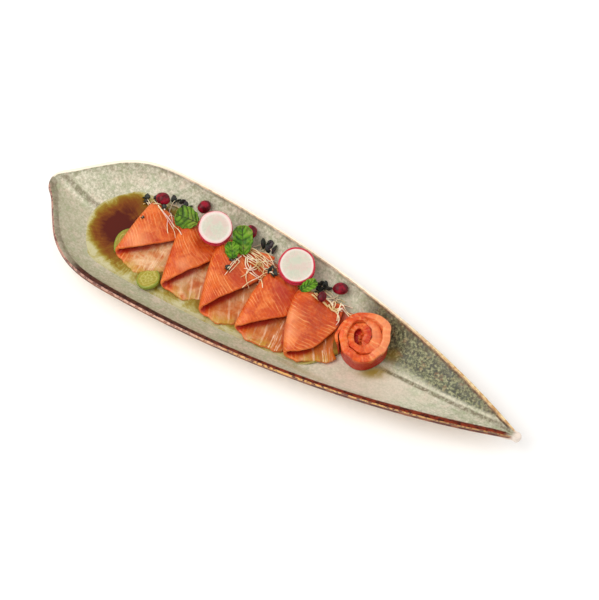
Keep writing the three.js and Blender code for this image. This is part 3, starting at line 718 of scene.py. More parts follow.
def glaze_ground(net, look, x, near, floor):
    """The grey-green glaze, with clouds and specks that are paler on the floor, and painted shade on the near
    wall towards the stem end.
    """
    coarse, fine = (
        net.shared("Speckle", Scale=scale, Amount=amount, Soft=soft)[0]
        for scale, amount, soft in ((470.0, 0.3, 0.1), (700.0, 0.36, 0.08))
    )
    grain = net.ramp(
        net.noise(520, 4.0, 0.75), (0.38, (120, 124, 92)), (0.46, (168, 168, 138)), (0.54, (206, 202, 178)),
        (0.62, (238, 230, 212)),
    )
    tinge = net.noise(150, 4.0, 0.7)
    rosy = net.times(net.span(x, 30.0, 60.0), net.span(x, 135.0, 95.0), near)
    return net.layers(
        look.glaze_dark,
        (look.glaze_pale, net.cloud(26, 4.0, 0.62, 0.36, 0.66)),
        ((214, 196, 174), net.cloud(70, 4.0, 0.65, 0.46, 0.66), 0.45),
        ((158, 166, 136), net.cloud(110, 4.0, 0.7, 0.5, 0.68), 0.4),
        ((128, 126, 92), fine, 0.4),
        ((228, 224, 206), coarse, 0.4),
        ((226, 220, 198), floor, 0.62),
        (grain, net.span(x, 70.0, -60.0, 0.35, 0.48)),
        # Painted shade: the near wall darker towards the stem end
        ((158, 150, 118), near, net.span(x, 60.0, -20.0, 0.0, 0.5)),
        ((150, 164, 122), net.span(tinge, 0.52, 0.62), 0.4),
        ((226, 200, 184), net.span(tinge, 0.45, 0.37), 0.32),
        ((216, 212, 186), rosy, 0.35),
        ((226, 200, 188), rosy, net.cloud(34, 3.0, 0.6, 0.42, 0.6), 0.3),
    )


def fired_glaze(net, x, lip):
    """The darker glaze of the far wall towards the tip, scorched, mossy and rusty in places."""
    fired = net.ramp(
        net.noise(500, 4.0, 0.72), (0.38, (8, 8, 2)), (0.45, (38, 40, 16)), (0.51, (90, 92, 54)),
        (0.57, (134, 134, 92)), (0.68, (176, 172, 132)),
    )
    aside = net.add("ShaderNodeVectorMath", {0: net.place(), 1: (0.3, 0.2, 0.1)})
    return net.layers(
        fired,
        ((78, 62, 36), net.cloud(60, 3.0, 0.6, 0.4, 0.56), net.span(x, 104.0, 84.0), 0.55),
        ((92, 106, 66), net.cloud(130, 3.0, 0.6, 0.5, 0.62), 0.25),
        ((150, 104, 64), net.span(net.noise(150, 3.0, 0.6, place=aside), 0.56, 0.66), 0.45),
        ((70, 70, 80), net.cloud(170, 3.0, 0.6, 0.46, 0.36), net.span(lip, 14.0, 5.0), 0.35),
    )


def crest_colours(net, x, way):
    """Colours on the lip's crest: pink to gold on the near side, cream to amber on the far side."""
    patch = net.cloud(300, 3.0, 0.7, 0.44, 0.6)
    mauve = net.over((182, 134, 118), (104, 58, 54), patch)
    pink = net.over((218, 170, 146), (150, 92, 74), patch)
    gold = net.layers(
        (96, 36, 20),
        ((222, 166, 92), net.cloud(420, 3.0, 0.7, 0.42, 0.54)),
        ((110, 58, 36), net.span(x, 110.0, 150.0, 0.0, 0.45)),
    )
    near_crest = net.layers(
        mauve, (pink, net.span(x, -118.0, -84.0)), (gold, net.span(x, -60.0, 30.0)))
    tan = net.over((204, 160, 112), (150, 104, 66), patch)
    amber = net.over((232, 208, 156), (196, 150, 92), net.cloud(260, 3.0, 0.7, 0.42, 0.6))
    far_crest = net.layers(
        (248, 236, 214),
        (amber, net.span(x, 40.0, 120.0)),
        (tan, net.span(way, -0.1, 0.5), net.span(x, -150.0, -90.0, 0.0, 0.8)),
    )
    return near_crest, far_crest


def glaze_finish(look):
    """Grey-green stoneware glaze with a cream lip, a burnt line inside it and dark specks."""
    net = Finish("stoneware_glaze")
    lip, x, far, vein, floor = (net.fact(key) for key in ("lip", "tipward", "far", "vein", "floor"))
    near = net.sum("SUBTRACT", 1.0, far)
    ground = glaze_ground(net, look, x, near, floor)
    rise = net.span(vein, 2.0, net.span(x, 90.0, 130.0, 11.0, 5.0), 0.12, 1.0)
    tipward = (net.span(x, 38.0, 62.0), net.span(x, 184.0, 176.0), far)
    ends = net.sum("ADD", net.span(x, 66.0, 90.0), net.span(x, -145.0, -153.0, 0.0, 0.8))
    # The vein's crease is drawn as a dark line, painted shade, with a pale line above it, a painted highlight
    off = net.sum("DIVIDE", net.sum("ABSOLUTE", vein), net.span(x, -60.0, 60.0, 3.4, 2.0))
    crease = (net.span(off, 1.0, 0.3), net.cloud(420, 3.0, 0.7, 0.36, 0.58, 0.25, 1.0))
    above = (net.span(vein, 1.0, 2.0), net.span(vein, 4.6, 2.4),
             net.cloud(500, 3.0, 0.7, 0.4, 0.6, 0.2, 1.0))

    way = net.sum("ADD", lip, net.swing(net.noise(170, 3.0, 0.6), 0.9))
    near_end = net.sum("ADD", net.span(x, -100.0, 10.0, 5.0, 3.7), net.span(x, 20.0, 70.0, 0.0, 0.5))
    from_inner = net.sum("SUBTRACT", way, net.span(far, 0.0, 1.0, near_end, 2.6))
    from_outer = net.sum("SUBTRACT", way, net.span(far, 0.0, 1.0, -0.6, 1.0))
    burnt = net.times(
        net.span(from_inner, 0.7, -0.7), net.span(from_outer, -0.3, 0.3), net.span(far, 0.0, 1.0, 1.0, 0.4),
        net.span(x, -142.0, -130.0, 0.35, 1.0), net.span(x, 184.0, 178.0))
    streaky = net.cloud(260, 4.0, 0.7, 0.4, 0.58)
    dark_end = net.over((46, 18, 18), look.burnt, streaky)
    red_end = net.over((66, 18, 8), (128, 44, 20), streaky)
    near_crest, far_crest = crest_colours(net, x, way)
    low_way = net.sum("SUBTRACT", way, net.times(near, net.span(x, 20.0, 80.0, 0.0, 0.6)))
    umber = net.over((84, 36, 30), (140, 84, 58), net.cloud(120, 3.0, 0.6, 0.42, 0.6))
    back = net.over((220, 198, 170), (200, 172, 140), net.cloud(80, 5.0, 0.7, 0.3, 0.7))
    glaze = net.layers(
        ground,
        (fired_glaze(net, x, lip), *tipward, rise, 0.9),
        ((146, 122, 40), net.fact("stain"), net.cloud(110, 3.0, 0.6, 0.26, 0.5, 0.45, 1.0)),
        # Painted highlight: the pale line above the vein
        ((222, 214, 190), *above, ends, 0.55),
        # Painted shade: the dark line in the vein's crease
        ((92, 76, 46), *crease, ends, 0.8),
        ((112, 96, 70), net.span(way, 11.0, 3.0), net.cloud(240, 3.0, 0.7, 0.4, 0.68), 0.5),
        (net.over(dark_end, red_end, net.span(x, -60.0, 40.0)), burnt),
        (net.over(near_crest, far_crest, far), net.span(from_outer, 0.35, -0.25),
         net.span(low_way, -2.2, -1.7)),
        # The outer wall under the lip: umber on the near side, partly its glaze and partly painted shade, and
        # tan on the far side
        (net.over(umber, (216, 168, 112), far), net.span(low_way, -1.8, -2.3)),
        (back, net.span(way, -3.5, -4.2)),
        ((226, 212, 200), net.span(x, 182.0, 186.0)),
    )
    height = net.wet(120.0, 0.52, 0.36)
    return net.end(
        glaze, (height, 0.3, 0.5), coat=net.span(burnt, 0.0, 1.0, 0.06, 0.0), coat_rough=0.15,
        specular=net.span(burnt, 0.0, 1.0, 0.28, 0.12))


def sauce_finish(look):
    """Thin dark sauce: olive where it is shallow, red-brown where it is deep and in a spot of painted shade
    beside the rose, in streaks off the food.
    """
    net = Finish("ponzu_sauce")
    depth = net.sum("DIVIDE", net.fact("depth"), 4.0)
    fan = net.point(net.fact("fan"), net.fact("out"))
    streak = net.swing(net.noise(1.0, 5.0, 0.75, place=fan), 0.6)
    sway = net.swing(net.noise(90, 5.0, 0.7, distortion=0.8), 1.2)
    stir = net.times(net.sum("ADD", streak, sway), net.span(depth, 0.02, 0.3, 0.3, 1.0))
    colour = net.ramp(
        net.sum("ADD", depth, stir), (0.0, (190, 183, 142)), (0.05, (168, 156, 90)), (0.12, (144, 120, 40)),
        (0.28, (128, 88, 20)), (0.52, (118, 62, 16)), (0.85, look.deep),
    )
    return net.end(colour, (net.noise(150, 2.0), 0.15, 0.4), rough=0.14, specular=0.2)


def outer_flesh(net, look, flesh, patches, ember_share, edge_highlight_share, fibre, lines):
    """The outer side of the salmon: orange flesh in patches, with two runs of fat lines, spots of painted
    highlight and a painted highlight along its edges.
    """
    cloud = net.noise(90, 4.0, 0.6, distortion=0.4)
    tone = net.span(net.sum("ADD", net.times(fibre, 0.3), net.times(cloud, 0.7)), 0.4, 0.58)
    rosy = net.span(net.noise(patches, 4.0, 0.65, distortion=0.5), 0.5, 0.62)
    ember = net.span(net.noise(patches * 0.8, 4.0, 0.65, distortion=0.5), 0.46, 0.36)
    fleck = net.noise(430, 3.0, 0.65)
    main, fine = lines
    return net.layers(
        flesh.flesh_dark,
        (flesh.flesh, tone),
        ((236, 134, 68), rosy, 0.5),
        ((190, 50, 10), ember, ember_share),
        ((214, 110, 28), net.cloud(patches * 0.55, 4.0, 0.6, 0.54, 0.66), 0.4),
        ((242, 160, 110), net.span(fleck, 0.54, 0.64), 0.14),
        ((160, 44, 18), net.span(fleck, 0.46, 0.36), 0.2),
        ((240, 144, 78), fine, 0.18),
        (look.fat, main, 0.9),
        # Painted highlight in spots
        ((242, 162, 110), net.fact("glow"), 0.55),
        # Painted highlight along the sheet's edges
        ((240, 128, 62), net.span(net.fact("edge"), 1.7, 0.3), edge_highlight_share),
    )


def salmon_finish(name, look, flesh, spacing, pale_share=1.0, patches=80.0, ember_share=0.4, edge_highlight_share=0.5):
    """Raw salmon: orange flesh, pale fat lines, a paler inner side, and deep red painted shade in the folds
    and between the slices.
    """
    net = Finish(name)
    grain, streak, inner = (net.fact(key) for key in ("grain", "streak", "inner"))
    across = net.times(grain, 0.42)
    fibre = net.noise(1.0, 3.0, 0.6, place=net.point(across, net.times(streak, 0.07), inner))
    main, fine = (
        net.shared("Fat lines", Grain=grain, Spacing=gap, Width=width, Sway=FAT_SWAY, Least=least)[0]
        for gap, width, least in ((spacing, 0.24, 0.3), (spacing * 0.43, 0.3, 0.0))
    )
    outer = outer_flesh(net, look, flesh, patches, ember_share, edge_highlight_share, fibre, (main, fine))

    pale = net.ramp(
        net.noise(92, 4.0, 0.6, distortion=0.4), (0.36, (186, 92, 40)), (0.43, (204, 126, 72)),
        (0.5, look.pale), (0.58, (230, 190, 146)), (0.68, (204, 136, 86)),
    )
    band = net.noise(1.0, 4.0, 0.75, place=net.point(across, net.times(streak, 0.03)), distortion=0.35)
    striped = net.times(net.fact("striped"), net.cloud(75, 3.0, 0.6, 0.36, 0.58, 0.25, 0.85))
    pale = net.layers(
        pale,
        ((176, 130, 62), net.cloud(64, 2.0, 0.5, 0.56, 0.66), 0.65),
        ((196, 98, 16), net.fact("stain"), net.cloud(60, 3.0, 0.6, 0.36, 0.56, 0.35, 1.0)),
        ((190, 148, 44), net.fact("soak"), net.cloud(110, 3.0, 0.5, 0.38, 0.56), 0.7),
        ((248, 222, 190), net.span(band, 0.52, 0.62), striped),
        ((176, 94, 54), net.span(band, 0.46, 0.37), striped),
        (outer, net.fact("near_fold")),
    )
    # The fold colour, laid where the fact deep is set, is painted shade
    meat = net.layers(outer, (pale, inner, pale_share), (look.deep, net.fact("deep")))

    dimple = net.wet(260.0, 0.46, 0.26)
    relief = net.sum("MULTIPLY_ADD", main, -0.5, net.sum("ADD", net.times(dimple, 0.5), fibre))
    relief = net.sum("MULTIPLY_ADD", net.noise(120, 3.0, 0.6, distortion=0.6), 2.2, relief)
    relief = net.sum("MULTIPLY_ADD", net.times(band, inner, striped), 1.8, relief)
    net.soft(0.12, (1.0, 0.35, 0.15), 1.8)
    return net.end(meat, (relief, 0.7, 0.45), specular=0.28, coat=0.05, coat_rough=0.15)


def radish_finish(look):
    """White radish flesh with faint rays, and a crimson skin."""
    net = Finish("radish")
    rays, inward = net.fact("rays"), net.fact("inward")
    wave = net.noise(1.0, 3.0, 0.6, place=net.point(net.times(rays, 9.0), net.times(inward, 0.35)))
    blush = net.noise(150, 3.0, 0.6)
    colour = net.layers(
        (206, 200, 184),
        (look.flesh, net.span(wave, 0.4, 0.62)),
        ((204, 206, 188), net.cloud(160, 3.0, 0.5, 0.4, 0.62), 0.35),
        ((196, 198, 178), net.span(inward, 3.0, 8.0), 0.55),
        ((220, 186, 180), net.span(blush, 0.5, 0.6), 0.45),
        ((184, 200, 178), net.span(blush, 0.46, 0.38), 0.3),
        ((242, 230, 224), net.span(inward, 3.4, 1.4), 0.6),
        ((236, 160, 168), net.span(inward, 2.0, 0.6), 0.45),
        (look.skin, net.fact("skin")),
    )
    height = net.wet(240.0, 0.34, 0.18)
    net.soft(0.25, (1.0, 0.8, 0.7), 1.0)
    return net.end(colour, (height, 0.2, 0.2))


def cucumber_finish(look):
    """Pale green flesh with arcs round the seeds and a darker skin."""
    net = Finish("cucumber")
    rays, inward = net.fact("rays"), net.fact("inward")
    arcs = net.sum("SINE", net.sum("MULTIPLY_ADD", inward, 2.4, net.times(net.noise(170, 2.0), 14.0)))
    seeds = net.span(net.sum("SINE", net.times(rays, 9.0)), 0.3, 0.9)
    colour = net.layers(
        look.flesh,
        ((194, 184, 98), net.span(arcs, 0.2, 1.0), 0.6),
        ((196, 190, 110), seeds, net.span(inward, 3.2, 5.0), 0.5),
        (look.skin, net.span(inward, 1.5, 0.5)),
    )
    height = net.wet(260.0, 0.32, 0.12)
    net.soft(0.2, (0.6, 1.0, 0.3), 1.5)
    return net.end(colour, (height, 0.3, 0.3))


def leaf_finish(look):
    """A green leaf with a red-brown midrib and side veins, darker where the veins spread."""
    net = Finish("sorrel_leaf")
    vein, dark = net.fact("vein"), net.fact("dark")
    near_vein = (net.span(vein, 0.25, 0.75), net.span(dark, 0.0, 0.7, 0.25, 0.95),
                 net.cloud(130, 3.0, 0.6, 0.36, 0.56, 0.25, 1.0))
    colour = net.layers(
        look.leaf_dark,
        (look.leaf, net.cloud(220, 3.0, 0.6, 0.4, 0.6)),
        ((150, 166, 66), net.cloud(150, 3.0, 0.6, 0.5, 0.64), 0.6),
        ((124, 116, 50), net.span(dark, 0.5, 0.9, 0.0, 0.25)),
        ((26, 50, 14), *near_vein, 0.9),
        (look.vein, net.span(vein, 0.72, 0.95)),
    )
    net.wet(300.0, 0.5, 0.32)
    net.soft(0.1, (0.3, 1.0, 0.2), 0.8)
    return net.end(colour, (net.sum("SUBTRACT", 1.0, vein), 0.5, 0.35), specular=0.2)


def aril_finish(look):
    """Dark red juice sacs with a paler spot where the light goes through."""
    net = Finish("pomegranate_aril")
    net.wet(200.0, 0.44, 0.3)
    net.soft(0.35, (1.0, 0.15, 0.2), 2.0)
    return net.end(net.over(look.dark, look.juice, net.cloud(260, 2.0, 0.5, 0.38, 0.66)), specular=0.25)


def stem_finish(look):
    """Pale moist stems, greener and pinker in places."""
    net = Finish("sprout_stem")
    net.wet(400.0, 0.45, 0.25)
    net.soft(0.2, (1.0, 0.9, 0.6), 0.8)
    return net.end(net.ramp(
        net.noise(90, 2.0, 0.6), (0.28, (190, 156, 90)), (0.4, look.stem), (0.52, (244, 228, 194)),
        (0.66, (222, 172, 162)),
    ))


def seed_leaf_finish(look):
    """Nearly black seed leaves with a little green and purple."""
    net = Finish("seed_leaf")
    net.wet(300.0, 0.6, 0.4)
    return net.end(net.ramp(
        net.noise(160, 2.0, 0.6), (0.35, look.seed), (0.5, (26, 36, 20)), (0.68, (46, 24, 34))))


def floor_finish(look):
    """A pale, dull floor."""
    net = Finish("pale_floor")
    return net.end(net.over(look.floor, look.floor_light, net.cloud(3.0, 2.0, 0.5, 0.3, 0.7)), rough=0.85)


# The settings that a user may change

def colour_setting(name, text, *seen):
    return FloatVectorProperty(
        name=name, description=text, subtype="COLOR", min=0, max=1, default=paint(*seen)[:3])


def length_setting(name, text, value, low=0.0, high=1.0):
    return FloatProperty(name=name, description=text, subtype="DISTANCE", unit="LENGTH", default=value * MM,
                         min=low * MM, max=high * MM, precision=4)


class DishLook(bpy.types.PropertyGroup):
    glaze_pale: colour_setting("Pale glaze", "Colour of the glaze where it pools thickly", 208, 202, 182)
    glaze_dark: colour_setting("Dark glaze", "Colour of the glaze where it is thin", 172, 170, 146)
    burnt: colour_setting("Burnt line", "Colour of the line inside the lip", 84, 44, 34)
    spokes: IntProperty(name="Spokes", description="Points round the leaf", default=480, min=64, max=960)


class SauceLook(bpy.types.PropertyGroup):
    level: length_setting("Level", "Height of the sauce above the table", 10.0, 6.5, 14.0)
    deep: colour_setting("Deep sauce", "Colour where the sauce is deepest", 82, 24, 12)


class SalmonLook(bpy.types.PropertyGroup):
    thickness: length_setting("Thickness", "Thickness of a slice", SLICE_THICK, 1.0, 5.0)
    fat_spacing: length_setting("Line spacing", "Distance between two fat lines", 2.8, 0.5, 8.0)
    flesh: colour_setting("Flesh", "Colour of the lit flesh", 212, 90, 20)
    flesh_dark: colour_setting("Dark flesh", "Colour of the deeper flesh", 190, 64, 12)
    fat: colour_setting("Fat", "Colour of the fat lines", 246, 170, 104)
    pale: colour_setting("Inner side", "Colour of the pale inner side", 218, 162, 112)
    # The fold colour is painted shade, deep in the folds and between the slices
    deep: colour_setting("Fold", "Colour deep in the folds", 172, 24, 24)


class RoseLook(bpy.types.PropertyGroup):
    flare: length_setting("Flare", "How far the petals lean out at the top", ROSE["flare"], 0.0, 5.0)
    uneven: length_setting("Unevenness", "How far the turns wander from a true spiral", 0.8, 0.0, 1.5)
    flesh: colour_setting("Flesh", "Colour of the rose's lit flesh", 226, 92, 24)
    flesh_dark: colour_setting("Dark flesh", "Colour of the rose's deeper flesh", 204, 62, 12)
    columns: IntProperty(name="Columns", description="Points along the rolled slice", default=460, min=80,
                         max=900)


class RadishLook(bpy.types.PropertyGroup):
    thickness: length_setting("Thickness", "Thickness of a radish slice", 2.0, 0.5, 4.0)
    flesh: colour_setting("Flesh", "Colour of the radish flesh", 218, 206, 190)
    skin: colour_setting("Skin", "Colour of the radish skin", 190, 20, 52)


class CucumberLook(bpy.types.PropertyGroup):
    thickness: length_setting("Thickness", "Thickness of a cucumber slice", 3.0, 0.5, 6.0)
    flesh: colour_setting("Flesh", "Colour of the cucumber flesh", 156, 142, 42)
    skin: colour_setting("Skin", "Colour of the cucumber skin", 130, 142, 40)


class LeafLook(bpy.types.PropertyGroup):
    leaf: colour_setting("Leaf", "Colour of the leaf", 104, 152, 30)
    leaf_dark: colour_setting("Dark leaf", "Colour of the leaf's darker parts", 56, 104, 20)
    vein: colour_setting("Vein", "Colour of the midrib and side veins", 62, 36, 20)


class ArilLook(bpy.types.PropertyGroup):
    juice: colour_setting("Juice", "Colour where light goes through", 150, 8, 38)
    dark: colour_setting("Dark", "Colour of the darker side", 84, 4, 16)


class SproutLook(bpy.types.PropertyGroup):
    radius: length_setting("Stem radius", "Half the thickness of a stem", 0.46, 0.1, 1.5)
    seed_size: length_setting("Seed leaf", "Length of a seed leaf", 4.4, 1.0, 6.0)
    stem: colour_setting("Stem", "Colour of the stems", 222, 190, 132)
    seed: colour_setting("Seed leaf colour", "Colour of the seed leaves", 14, 18, 12)
    steps: IntProperty(name="Steps", description="Points along a stem", default=22, min=6, max=60)


class StageLook(bpy.types.PropertyGroup):
    floor: colour_setting("Floor", "Colour of the floor", 252, 252, 252)
    floor_light: colour_setting("Light floor", "Colour of the floor's lighter parts", 254, 254, 254)
    key: FloatProperty(name="Key light", description="Strength of the main light", unit="POWER",
                       default=14.4, min=0, max=500)
    fill: FloatProperty(name="Fill light", description="Strength of the light that softens the shadows",
                        unit="POWER", default=4.0, min=0, max=500)
    sky: FloatProperty(name="Sky", description="Strength of the light from all round", default=0.74,
                       min=0, max=5)


LOOKS = {
    "plate_dish": DishLook, "plate_sauce": SauceLook, "plate_salmon": SalmonLook, "plate_rose": RoseLook,
    "plate_radish": RadishLook, "plate_cucumber": CucumberLook, "plate_leaf": LeafLook,
    "plate_aril": ArilLook, "plate_sprout": SproutLook, "plate_stage": StageLook,
}


# The dish and the sauce

def film_stain(x, y):
    """How strongly the thin films of sauce show."""
    stain = 0
    for a, b, wide, deep, bearing, share in FILMS:
        off = np.stack([x - a, y - b, np.zeros_like(x)], -1) @ spin(-bearing)
        stain = stain + np.exp(-((off[..., 0] / wide) ** 2 + (off[..., 1] / deep) ** 2) ** 1.5) * share
    return stain


class PLATE_OT_dish(bpy.types.Operator):
    """Make the leaf-shaped dish with its lip and veins"""

    bl_idname = "plate.dish"
    bl_label = "Dish"

    def execute(self, context):
        look = context.scene.plate_dish
        turn = np.arange(look.spokes) / look.spokes
        shares = np.linspace(0, 1, BOWL_RINGS)
        bowl = [bowl_ring(turn, share, 0) for share in shares]
        for ring, share in zip(bowl, shares):
            uneven = BOWL_RIPPLE["height"] * math.sin(math.pi * share) * smoothstep(share, 0.1, 0.5)
            ring[:, 2] += uneven * ripple(*ring[:, :2].T, BOWL_RIPPLE["rate"], BOWL_RIPPLE["seed"])
        lip_rings = [lip_ring(turn, inward, drop) for inward, drop in LIP_PROFILE]
        back = [bowl_ring(turn, share, WALL) for share in np.linspace(1, 0, BACK_RINGS)]
        points = np.stack(bowl + lip_rings + back)
        run = length_along(points)
        lip = run[BOWL_RINGS + CREST] - run
        x, y = points[..., 0], points[..., 1]
        aside = y - midline(x)
        inside = (lip > 2.5) & (np.arange(len(points)) < BOWL_RINGS)[:, None]
        flat = smoothstep(np.abs(aside) / np.maximum(half_breadth(x), 1), 0.82, 0.6) * inside
        vein = aside - 6.0 * smoothstep(-x, 100, 130) - 1.6 * smoothstep(x, 40, 80)
        facts = {
            "lip": lip, "tipward": x, "far": smoothstep(aside, -1.5, 2.0),
            "vein": np.where(inside, vein, 50.0), "floor": flat * smoothstep(x, 60, 20) * 0.7,
            "stain": film_stain(x, y) * inside,
        }
        mesh = write_mesh("leaf_dish", points, ring_faces(len(points), look.spokes, flip=True), facts)
        merge_seams(mesh)
        add_piece(mesh, "dish", glaze_finish(look))
        return {"FINISHED"}


class PLATE_OT_sauce(bpy.types.Operator):
    """Pour the sauce up to its level"""

    bl_idname = "plate.sauce"
    bl_label = "Sauce"

    def execute(self, context):
        look = context.scene.plate_sauce
        level = look.level / MM
        xs = np.linspace(*POOL_REACH, 4000)
        wet = xs[spine_height(xs) < level]
        u, v = (clustered(count, 0.6) for count in POOL_GRID)
        u = u[:, None]
        x = mix(wet.min(), wet.max(), u) * np.ones_like(v)
        low, high = spine_height(x), rim_height(x) - LIP_ROUND
        share = ((level - low) / (high - low)).clip(0, 1) ** (1 / belly_power(x))
        reach = (half_breadth(x) - LIP) * share + 1.6 * np.sqrt(np.sin(np.pi * u))
        y = midline(x) + reach * np.sqrt(smoothstep(x, 51, 30) * 0.97 + 0.03) * (2 * v - 1)
        bottom = floor_height(x, y) + 0.03
        top = bottom.copy()
        inside = (slice(1, -1), slice(1, -1))
        shallow = smoothstep(bottom, level - 0.5, level + 0.05)
        top[inside] = mix(level, bottom + FILM_THICK, shallow)[inside]
        open_pool = np.maximum(smoothstep(x, -104, -124), smoothstep(y, 0, 14))
        thin = mix(1.0, smoothstep(y + 0.45 * (x + 128), -29.5, -19), smoothstep(x, -104, -116))
        strength = mix(0.2, mix(0.6, 1.25, spots(x, y, POOL_CORE)), open_pool) * thin
        # A spot of painted shade beside the rose deepens the colour
        depth = (top - bottom) * strength + 0.4 * spots(x, y, POOL_SHADE)
        right, up = x - FAN_MIDDLE[0], y - FAN_MIDDLE[1]
        fan = 15 * np.arctan2(up, right)
        out = 0.05 * np.hypot(right, up)
        facts = {"depth": (depth, depth), "fan": (fan, fan), "out": (out, out)}
        plan = np.stack([x, y], -1)
        mesh = closed_mesh("ponzu_pool", raised(plan, top), raised(plan, bottom), facts)
        merge_seams(mesh)
        add_piece(mesh, "ponzu_sauce", sauce_finish(look))
        return {"FINISHED"}


# The folded slices

def fold_frame(part):
    """The near corner of a slice, the way along its fold, the way across it, and how far off the peak is."""
    near, peak = np.array(part["near"], float), np.array(part["peak"], float)
    reach = np.linalg.norm(peak - near)
    along = (peak - near) / reach
    return near, along, np.array([along[1], -along[0]]), reach


def on_slice(part, run, across):
    """Place in plan, from how far along the fold and how far across it a point lies."""
    near, along, aside, _ = fold_frame(part)
    return near + run[..., None] * along + across[..., None] * aside


def off_fold(part, plan):
    """How far along a slice's fold and how far across it some places lie."""
    near, along, aside, _ = fold_frame(part)
    return (plan - near) @ along, (plan - near) @ aside


def bow(part, run, length):
    return part["bow"] * np.sin(np.pi * np.clip(run / length, 0, 1))


def lower_near(part, across):
    depth, start, stop = part.get("draw", (0, 0, 1))
    bulge = 2.6 * np.sin(np.pi * np.clip(across / 24, 0, 1))
    return 9 * smoothstep(across, 24, 44) + depth * smoothstep(across, start, stop) - bulge


def flap_near(part, across):
    return part["tip"] + part["slope"] * across + part["curl"] * across**2


def laid_height(part, across, on_floor):
    """Height of a slice's lower layer, which sinks to the floor away from its fold."""
    sunk = smoothstep(across, part["lower"] * 0.15, part["lower"] * 0.55)
    return np.maximum(mix(part["left"], LOW_Z, sunk), on_floor)


def slice_point(part, across, run, turn):
    """A point of a slice's middle surface: across the fold, along it, and how far it has turned over."""
    peak_run = fold_frame(part)[3]
    plan = on_slice(part, run, across)
    on_floor = floor_height(plan[..., 0], plan[..., 1]) + 0.35 + SLICE_THICK / 2 + 0.2
    climb = np.sin(np.pi / 2 * np.clip(run / peak_run, 0, 1))
    fall = smoothstep(run, peak_run, part["length"] * 1.08)
    fold = mix(mix(part["open"], part["high"], climb), part["open"], fall)
    settle = smoothstep(across, FOLD_HALF, part["flap"])
    open_gap = mix(fold, np.minimum(fold, FLAP_EDGE_GAP), settle)
    lift = open_gap * (1 - np.cos(np.pi * turn)) / 2
    place = on_slice(part, run, across - bow(part, run, part["length"]))
    return raised(place, laid_height(part, across, on_floor) + lift)


def reach_before(part, blocked, begin_of, far, retreat, rows):
    """How far across each row may go before it runs into what lies beside the slice."""
    across = np.linspace(FOLD_HALF, far, 160)[:, None]
    run = mix(begin_of(part, across - FOLD_HALF), part["length"] - retreat * across, rows[None, :])
    hit = blocked(on_slice(part, run, across - bow(part, run, part["length"])))
    first = np.where(hit.any(axis=0), hit.argmax(axis=0), len(across) - 1)
    limit = across[first, 0]
    soft = np.convolve(np.pad(limit, 3, mode="edge"), np.ones(7) / 7, mode="valid")
    return np.minimum(soft, limit + 0.6)


def beside(following):
    """Says where the fold of the next slice stands."""
    def blocked(plan):
        run, across = off_fold(following, plan)
        reached = across > -1.0 - bow(following, run, following["length"])
        return reached & (run > -4) & (run < following["length"] + 6)
    return blocked


def inside_rose(plan):
    reach = ROSE["outer"] + ROSE["thick"] / 2 - 0.4
    return (plan[..., 0] - ROSE["x"]) ** 2 + (plan[..., 1] - ROSE["y"]) ** 2 < reach**2


def nowhere(plan):
    return np.zeros(plan.shape[:-1], bool)


def ragged(across, seed):
    """How far an edge wanders, in millimetres, at a distance along it."""
    slow = np.sin(across * 0.24 + seed) + 0.5 * np.sin(across * 0.55 + 2 * seed)
    return slow + 0.22 * np.sin(across * 1.3 + 3 * seed) + 0.12 * np.sin(across * 2.9 + seed)


def next_slice(number):
    return SLICES[number + 1] if number + 1 < len(SLICES) else None


def slice_form(number, part):
    """A slice's grid, from the free edge of its lower layer over the fold to the free edge of its flap."""
    columns, rows = (clustered(count, share) for count, share in zip(SLICE_GRID, (0.7, 0.85)))
    following = next_slice(number)
    flap_block = beside(following) if following else inside_rose
    lower_block = nowhere if following else inside_rose
    lower_far = reach_before(part, lower_block, lower_near, part["lower"], LOWER_RETREAT, rows)
    flap_far = reach_before(part, flap_block, flap_near, part["flap"], FLAP_RETREAT, rows)
    shares = columns[:, None] * np.ones_like(rows)
    low, folding = shares < LOWER_END, (shares >= LOWER_END) & (shares < FOLD_END)
    turn = np.clip((shares - LOWER_END) / (FOLD_END - LOWER_END), 0, 1)
    flap_share = np.clip((shares - FOLD_END) / (1 - FOLD_END), 0, 1)

    def choose(lower, fold, flap):
        return np.where(low, lower, np.where(folding, fold, flap))

    lower_across = mix(lower_far, FOLD_HALF, shares / LOWER_END)
    flap_across = mix(FOLD_HALF, flap_far, flap_share)
    across = choose(lower_across, FOLD_HALF * (1 - np.sin(np.pi * turn)), flap_across)
    edge_low = lower_near(part, lower_across - FOLD_HALF) + 0.75 * ragged(lower_across, number)
    edge_low = edge_low * smoothstep(lower_across, FOLD_HALF, FOLD_HALF + 5)
    wander = 0.3 * ragged(flap_across, number + 2) * smoothstep(flap_across, 4, 10)
    edge_flap = flap_near(part, flap_across - FOLD_HALF) + wander
    begin = choose(edge_low, part["tip"] * turn, edge_flap)
    end = part["length"] - choose(LOWER_RETREAT, 0.0, FLAP_RETREAT) * across
    run = mix(begin, end, rows)
    middle = slice_point(part, across, run, turn)
    sway, crumple, pucker = (
        ripple(middle[..., 0], middle[..., 1], rate, seed + number)
        for rate, seed in SLICE_RIPPLES
    )
    on_top = smoothstep(flap_share, 0.04, 0.3)
    middle[..., 2] += (0.45 * sway + 0.5 * crumple + 0.3 * pucker) * on_top
    laid = 1 - smoothstep(shares, 0.28, 0.36)
    middle[..., 2] += np.clip(0.3 * crumple + 0.25 * pucker + 0.1, 0, 0.4) * laid
    return middle, shares, flap_share, across, begin, run, crumple


def slice_grain(part, middle, shares, run):
    """How far each point lies along the grain, which leans over the flap, and how far from the fold."""
    reach = length_along(middle)
    turned = int(np.argmin(np.abs(shares[:, 0] - (LOWER_END + FOLD_END) / 2)))
    spread = reach - reach[turned]
    bent = part["flap"] * part.get("lean_by", 0.9)
    lean = np.where(spread < 0, 15, mix(*part["lean"], smoothstep(spread, 0, bent)))
    rise = np.cumsum(np.diff(reach, axis=0, prepend=reach[:1]) / np.tan(np.radians(lean)), axis=0)
    return run + rise - rise[turned], spread


